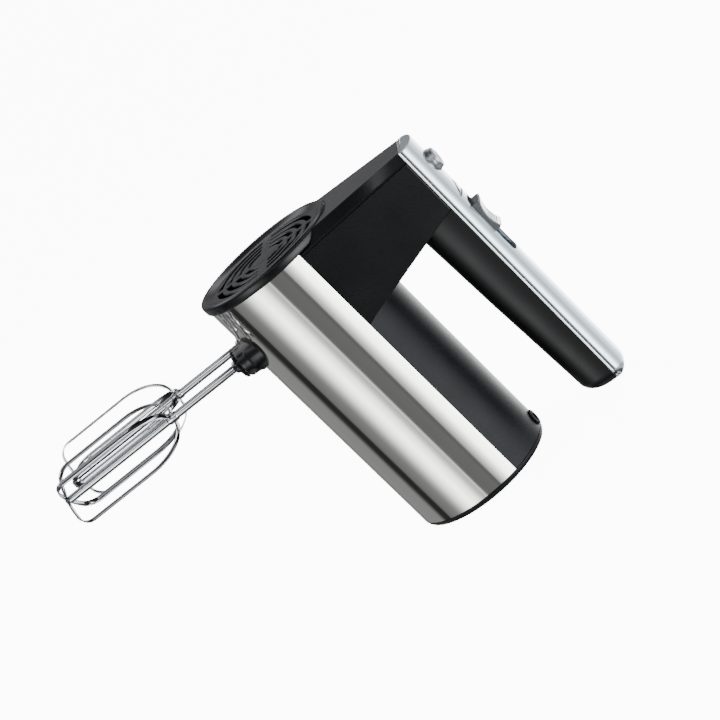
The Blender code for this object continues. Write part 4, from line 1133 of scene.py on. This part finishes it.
@dataclass
class SpeedSwitch:
    """Sliding knob in its pale track."""

    crest: float = 110.6
    half: float = 8.4
    front: float = 137.0
    length: float = 20.5
    slot_half: float = 9.0
    slot: Flat = (100.0, 142.0)
    heights: tuple[float, float, float] = (4.3, 1.7, 3.5)

    def track(self) -> Piece:
        """Floor of the slot, with a window for the stem and a raised step for each speed.

        Returns:
            The piece.
        """
        low = self.crest - 6.3
        floor = prism(rounded(self.slot_half + 3.0, self.slot[0] - 3, self.slot[1] + 3, 4.5), low, low + 1.8, "X")
        window = box((low - 1, low + 4), (-2.5, 2.5), (108.2, 133.3))
        ticks = [box((low + 1.5, low + 2.4), (4.2, 7.4), (z - 0.35, z + 0.35)) for z in (104, 108, 112)]
        return Piece("switch_track", lean(together([floor, *ticks])), TRACK, Body.HOUSING,
                     ("slider_track",), cuts=(lean(window),))

    def _outline(self, ribs: bool) -> list[Flat]:
        """Side view of the knob's top, from front to back.

        Args:
            ribs: whether the ribs are drawn.

        Returns:
            The (x, z) points.
        """
        first, middle, last = (self.crest + h for h in self.heights)
        sag = (first + last) / 2 - middle
        points = []
        steps = 120
        for i in range(steps + 1):
            share = i / steps
            x = first + (last - first) * share - sag * math.sin(math.pi * share) ** 0.8
            if ribs and 0.1 < share < 0.9:
                x += 0.16 * math.sin(2 * math.pi * share * 15)
            points.append((x, self.front - 0.8 - (self.length - 1.6) * share))
        return points

    def knob(self) -> list[Piece]:
        """Dark body of the knob and its pale ribbed top.

        Returns:
            The two pieces.
        """
        base = self.crest - 4.2
        first = self.crest + self.heights[0] - 0.5
        back = self.front - self.length
        side = [(base, self.front), (first - 0.8, self.front), (first - 0.25, self.front - 0.25)]
        side += [(x - 0.55, z) for x, z in self._outline(False)]
        side += [(self.crest + self.heights[2] - 1.3, back + 0.1), (base, back)]
        body = loft([[(x, y, z) for x, z in side] for y in (-self.half, self.half)])
        low = self.crest - 6.3
        stem = box((low - 7.0, base + 1.0), (-2.2, 2.2), (122.0, 131.0))
        top = self._outline(True)
        plate = [(x - 0.5, z) for x, z in reversed(self._outline(False))]
        lid = loft([[(x, y, z) for x, z in top + plate] for y in (0.5 - self.half, self.half - 0.5)])
        return [Piece("speed_knob_body", lean(together([body, stem])), KNOB, Body.SWITCH, ("speed_slider",),
                      0.3),
                Piece("speed_knob_ribbed_top", lean(lid), KNOB_TOP, Body.SWITCH)]

    def build(self) -> None:
        """Make the track and the knob."""
        for piece in (self.track(), *self.knob()):
            piece.build()


@dataclass
class EjectButton:
    """Round push button with a dished top."""

    crest: float = 110.6 - 0.07 * 170.5
    z: float = 170.5
    radius: float = 7.3
    rim: float = 6.6
    proud: float = 3.9

    def build(self) -> None:
        """Turn the button."""
        top = self.crest + self.proud
        profile = [(0, self.crest - 7.0), (self.radius, self.crest - 7.0), (self.radius, self.crest + 0.3),
                   (self.radius - 0.05, self.crest + 0.9), (self.radius - 0.3, self.crest + 1.4)]
        profile += [(self.rim - 1.5 + 1.6 * math.cos(a), top - 1.6 + 1.6 * math.sin(a))
                    for a in (math.radians(15 * i) for i in range(0, 8))]
        start = profile[-1]
        for i in range(1, 13):
            share = i / 12
            sink = math.sin(math.pi / 2 * share) ** 0.8
            profile.append((start[0] * (1 - share), start[1] - 0.9 * sink))
        Piece("eject_push_button", lathe(profile, "X", (0.0, self.z), 96), BUTTON, Body.EJECTOR,
              ("eject_button",)).build()


# ---------------------------------------------------------------- beaters

@dataclass
class Beater:
    """One beater with its driving collar.

    Attributes:
        name: left or right.
        side: side of Y.
        turn: rest angle in degrees.
        body: the body that carries the beater.
        drive: the body that carries its collar.
    """

    name: str
    side: int
    turn: float
    body: Body
    drive: Body
    spacing: float = 37.0
    spindle_z: float = 151.7
    boss_end: float = -59.6
    radius: float = 20.8
    tip: float = -198.6
    shoulder: float = -114.0
    shoulder_length: float = 28.0
    tip_corner: float = 8.0
    width: float = 3.8
    thick: float = 1.0
    pitch: float = 1.1
    shaft: float = 2.5
    top: float = -34.0

    @property
    def centre(self) -> Flat:
        """Axis of the beater."""
        return self.side * self.spacing / 2, self.spindle_z

    def path(self, inset: float) -> list[Flat]:
        """Half of a loop, from the tip to the shaft, as (radius, x) points.

        Args:
            inset: how far inside the outer loop it runs.

        Returns:
            The points, in order.
        """
        radius = self.radius - inset
        tip = self.tip + 1.0 + inset
        low, high = tip + 2.4 + self.tip_corner, self.shoulder - self.shoulder_length
        flat = radius - self.tip_corner
        points = [(flat * i / 6, tip + 2.4 * (i / 6) ** 2 * 0.55) for i in range(6)]
        for i in range(1, 17):
            angle = math.radians(90 * i / 16)
            points.append((radius - self.tip_corner * (1 - math.sin(angle)),
                           low - self.tip_corner * math.cos(angle) - (2.4 - 1.32) * (1 - i / 16)))
        inner = self.shaft + 0.9
        for i in range(25):
            angle = math.radians(90 * i / 24)
            points.append((inner + (radius - inner) * max(0.0, math.cos(angle)) ** 0.9,
                           high + (self.shoulder_length - inset) * math.sin(angle)))
        return points

    def loop(self, index: int) -> bmesh.types.BMesh:
        """A flat strip with rounded edges, bent into a loop.

        Args:
            index: 0 for the outer loop, 1 for the inner one.

        Returns:
            The mesh.
        """
        half = self.path(index * self.pitch)
        path = [(-r, x) for r, x in reversed(half)] + half[1:]
        angle = math.radians(self.turn + 90 * index)
        across = (math.cos(angle), math.sin(angle))
        t, w = self.thick / 2, self.width / 2
        profile = [(-t, 0.3 - w), (-t * 0.6, -w), (t * 0.6, -w), (t, 0.3 - w), (t, w - 0.3), (t * 0.6, w),
                   (-t * 0.6, w), (-t, w - 0.3)]
        sections = []
        for i, (r, x) in enumerate(path):
            before, after = path[max(i - 1, 0)], path[min(i + 1, len(path) - 1)]
            step_r, step_x = after[0] - before[0], after[1] - before[1]
            length = math.hypot(step_r, step_x)
            normal = (-step_x / length, step_r / length)
            section = []
            for out, wide in profile:
                reach, height = r + normal[0] * out, x + normal[1] * out
                section.append((height, self.centre[0] + reach * across[0] - wide * across[1],
                                self.centre[1] + reach * across[1] + wide * across[0]))
            sections.append(section)
        return loft(sections)

    def pin(self) -> bmesh.types.BMesh:
        """Shaft with a rounded top, a knot where the strips end and a riveted tip.

        Returns:
            The mesh.
        """
        inner = self.tip + 1.0 + self.pitch + self.thick / 2 + 0.1
        outer = self.tip + 1.0 - self.thick / 2 - 0.05
        r, knot = self.shaft, self.shoulder
        profile = [(0, self.top), (r - 1.0, self.top - 0.1), (r - 0.3, self.top - 0.5), (r, self.top - 1.2),
                   (r, knot + 3.2), (r + 0.35, knot + 2.8), (r + 0.5, knot + 2.2), (r + 0.5, knot - 3.0),
                   (r + 0.35, knot - 3.6), (r, knot - 4.0), (r, inner + 0.4), (r - 0.4, inner), (1.0, inner),
                   (1.0, outer), (2.2, outer), (2.1, outer - 0.25), (1.5, outer - 0.5), (0, outer - 0.6)]
        return lathe(profile, "X", self.centre, 48)

    def lock_ring(self) -> bmesh.types.BMesh:
        """Ring that snaps into the spindle.

        Returns:
            The mesh.
        """
        low = self.boss_end - 0.8 - 2.2 - GAP
        profile = [(self.shaft + 0.05, low), (3.7, low), (4.4, low - 0.35), (4.6, low - 0.9),
                   (4.3, low - 1.6), (3.6, low - 3.2), (self.shaft + 0.05, low - 3.2)]
        return lathe(profile, "X", self.centre, 64)

    def collar(self) -> bmesh.types.BMesh:
        """Driving collar with small teeth round its rim.

        Returns:
            The mesh.
        """
        low = self.boss_end - 0.8
        profile = [(3.9, low - 2.2), (8.9, low - 2.2), (9.2, low - 2.0), (9.2, low - 0.95),
                   (8.9, low - 0.75), (8.1, low - 0.75), (8.0, low - 0.1), (7.9, low), (5.3, low),
                   (5.3, low - 0.8), (3.9, low - 0.8)]
        bm = lathe(profile, "X", self.centre, 240)
        for vert in bm.verts:
            y, z = vert.co.y - self.centre[0], vert.co.z - self.centre[1]
            reach = math.hypot(y, z)
            if reach > 8.5:
                tooth = 0.5 + 0.5 * math.tanh(3 * math.sin(20 * math.atan2(z, y)))
                scale = 1 - 0.55 * (1 - tooth) / reach
                vert.co.y, vert.co.z = self.centre[0] + y * scale, self.centre[1] + z * scale
        return bm

    def build(self) -> None:
        """Make the beater and its collar."""
        Piece(f"{self.name}_driving_collar", self.collar(), BLACK, self.drive,
              (f"{self.name}_collar",)).build()
        Piece(f"{self.name}_beater_pin", self.pin(), CHROME, self.body,
              (f"{self.name}_beater_shaft",)).build()
        Piece(f"{self.name}_beater_lock", self.lock_ring(), CHROME, self.body,
              (f"{self.name}_lock_ring",)).build()
        for index, which in enumerate(("outer", "inner")):
            Piece(f"{self.name}_{which}_wire_loop", self.loop(index), CHROME, self.body,
                  (f"{self.name}_beater_{which}_loop",), sharp=50.0).build()


# ---------------------------------------------------------------- stage

@dataclass
class Studio:
    """Pale floor, soft surround, lamps and camera."""

    place: Point = (0.28934, -1.27129, 0.44803)
    target: Point = (-0.0113, 0.0, 0.1040)
    roll: float = 51.81
    lens: float = 114.6

    def floor(self) -> None:
        """Pale floor far wider than the view."""
        made = _object("pale_floor", lathe([(0, -40.0), (40000.0, -40.0), (40000.0, 0.0), (0, 0.0)]))
        material = bpy.data.materials.new("pale_floor")
        material.use_nodes = True
        graph = Graph(material.node_tree)
        cloud = graph.noise(graph.place(Grain.EVEN), 1.5)
        colour = graph.mix(cloud, (0.93, 0.93, 0.93, 1.0), (0.95, 0.95, 0.95, 1.0))
        sockets = {"Base Color": colour, "Roughness": 0.3, "Emission Color": (1.0, 1.0, 1.0, 1.0),
                   "Emission Strength": 11.0}
        shader = graph.node("ShaderNodeBsdfPrincipled", None, sockets)
        graph.node("ShaderNodeOutputMaterial", None, {"Surface": shader})
        made.data.materials.append(material)
        made.visible_glossy = False
        made.visible_diffuse = False
        made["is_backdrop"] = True

    def surround(self) -> None:
        """Soft boxes and flags all round, by compass direction."""
        bands = ((-180, 0.43), (-161, 0.85), (-153, 0.63), (-142, 0.16),
                 (-137, 0.35), (-99, 0.36), (-90.3, 0.04), (-80.3, 0.035),
                 (-78, 0.23), (-63, 0.33), (-57, 0.57), (-51, 1.3), (-45, 2.8), (-33, 6.2),
                 (-21, 3.6), (-15, 1.5), (-9.3, 0.85), (-7.3, 1.7), (-4.8, 0.2), (14.7, 0.22),
                 (20.7, 0.15), (22.7, 0.8), (26.7, 1.3), (32.7, 3.2), (38.7, 7.5), (50.7, 10.0),
                 (76, 8.0), (93, 3.0), (118, 1.2), (150, 3.0), (165, 7.0))
        world = bpy.data.worlds.new("studio")
        world.use_nodes = True
        bpy.context.scene.world = world
        graph = Graph(world.node_tree)
        way = graph.node("ShaderNodeTexCoord", output="Generated")
        parts = self._parts(graph, way)
        around = graph.node("ShaderNodeMath", {"operation": "ARCTAN2"}, {0: parts[0], 1: 0.0 - parts[1]})
        turn = around / (2 * math.pi) + 0.5
        stops = [((angle + 180) / 360, (level * 0.98, level, level * 1.0)) for angle, level in bands]
        ramp = graph.node("ShaderNodeValToRGB", {"stops": stops}, {0: turn})
        rows = ((-1.0, 0.03), (-0.93, 1.5), (-0.84, 0.03), (-0.66, 0.03), (-0.6, 1.3), (-0.5, 0.4),
                (-0.1, 0.3), (0.0, 0.03), (0.1, 0.25), (0.3, 0.34), (0.44, 0.05), (0.56, 2.6),
                (0.68, 2.6), (0.72, 0.04), (0.88, 0.04), (1.0, 0.05))
        stops = [((level + 1) / 2, (tone, tone, tone * 1.04)) for level, tone in rows]
        climb = graph.node("ShaderNodeValToRGB", {"stops": stops}, {0: parts[2] * 0.5 + 0.5})
        below = graph.node("ShaderNodeMapRange", None, {0: parts[2], 1: -0.5, 2: -0.42, 3: 0.0, 4: 1.0})
        above = graph.node("ShaderNodeMapRange", None, {0: parts[2], 1: -0.06, 2: 0.02, 3: 1.0, 4: 0.0})
        colour = graph.mix(below * above, climb, ramp)
        back = graph.node("ShaderNodeBackground", None, {"Color": colour, "Strength": 1.0})
        graph.node("ShaderNodeOutputWorld", None, {"Surface": back})

    @staticmethod
    def _parts(graph: Graph, way: Value) -> list[Value]:
        """Split a direction into its three parts.

        Args:
            graph: the node tree to add to.
            way: the direction.

        Returns:
            Its x, y and z.
        """
        split = graph.tree.nodes.new("ShaderNodeSeparateXYZ")
        graph.tree.links.new(way.source, split.inputs[0])
        return [Value(graph, output) for output in split.outputs]

    def lamp(self, name: str, place: Point, aim: Point, size: float, power: float) -> None:
        """One square soft box.

        Args:
            name: the lamp's name.
            place: where it hangs.
            aim: the point that it faces.
            size: length of its side in metres.
            power: its power in watts.
        """
        light = bpy.data.lights.new(name, "AREA")
        light.size = size
        light.energy = power
        made = bpy.data.objects.new(name, light)
        made.location = place
        made.rotation_euler = (Vector(aim) - Vector(place)).to_track_quat("-Z", "Y").to_euler()
        made.visible_camera = False
        bpy.context.scene.collection.objects.link(made)

    def camera(self) -> None:
        """Camera that looks down on the drum, rolled so that the mixer lies across the frame."""
        forward = (Vector(self.target) - Vector(self.place)).normalized()
        flat = forward.cross(Vector((1, 0, 0))).normalized()
        rise = flat.cross(forward)
        turn = math.radians(self.roll)
        right = math.cos(turn) * flat + math.sin(turn) * rise
        up = -math.sin(turn) * flat + math.cos(turn) * rise
        data = bpy.data.cameras.new("camera")
        data.lens = self.lens
        data.sensor_width = 36.0
        made = bpy.data.objects.new("camera", data)
        rows = Matrix((right, up, -forward)).transposed()
        made.matrix_world = Matrix.Translation(self.place) @ rows.to_4x4()
        bpy.context.scene.collection.objects.link(made)
        bpy.context.scene.camera = made

    def build(self) -> None:
        """Set the stage."""
        self.floor()
        self.surround()
        self.lamp("top_box", (-0.6, 0.1, 1.3), (0, 0, 0.1), 0.9, 10.0)
        self.camera()


def dress_inner_parts() -> None:
    """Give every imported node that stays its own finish."""
    for finish, names in INNER_PARTS.items():
        for name in names:
            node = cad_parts[name]
            node.data.materials.clear()
            node.data.materials.append(finish.make())
            LOG.info("%s: %s", name, finish.name)


def corners() -> list[list[float]]:
    """The shown object's box as plain lists."""
    return [[float(c) for c in corner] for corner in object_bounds()]


def main() -> None:
    """Build the mixer and its stage."""
    logging.basicConfig(level=logging.INFO, format="%(message)s")
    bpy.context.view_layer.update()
    Studio().build()
    dress_inner_parts()
    Casing().build()
    Post().build()
    Handle().build()
    SpeedSwitch().build()
    EjectButton().build()
    Beater("left", -1, 45.0, Body.LEFT_BEATER, Body.LEFT_DRIVE).build()
    Beater("right", 1, 0.0, Body.RIGHT_BEATER, Body.RIGHT_DRIVE).build()


if __name__ == "__main__":
    main()
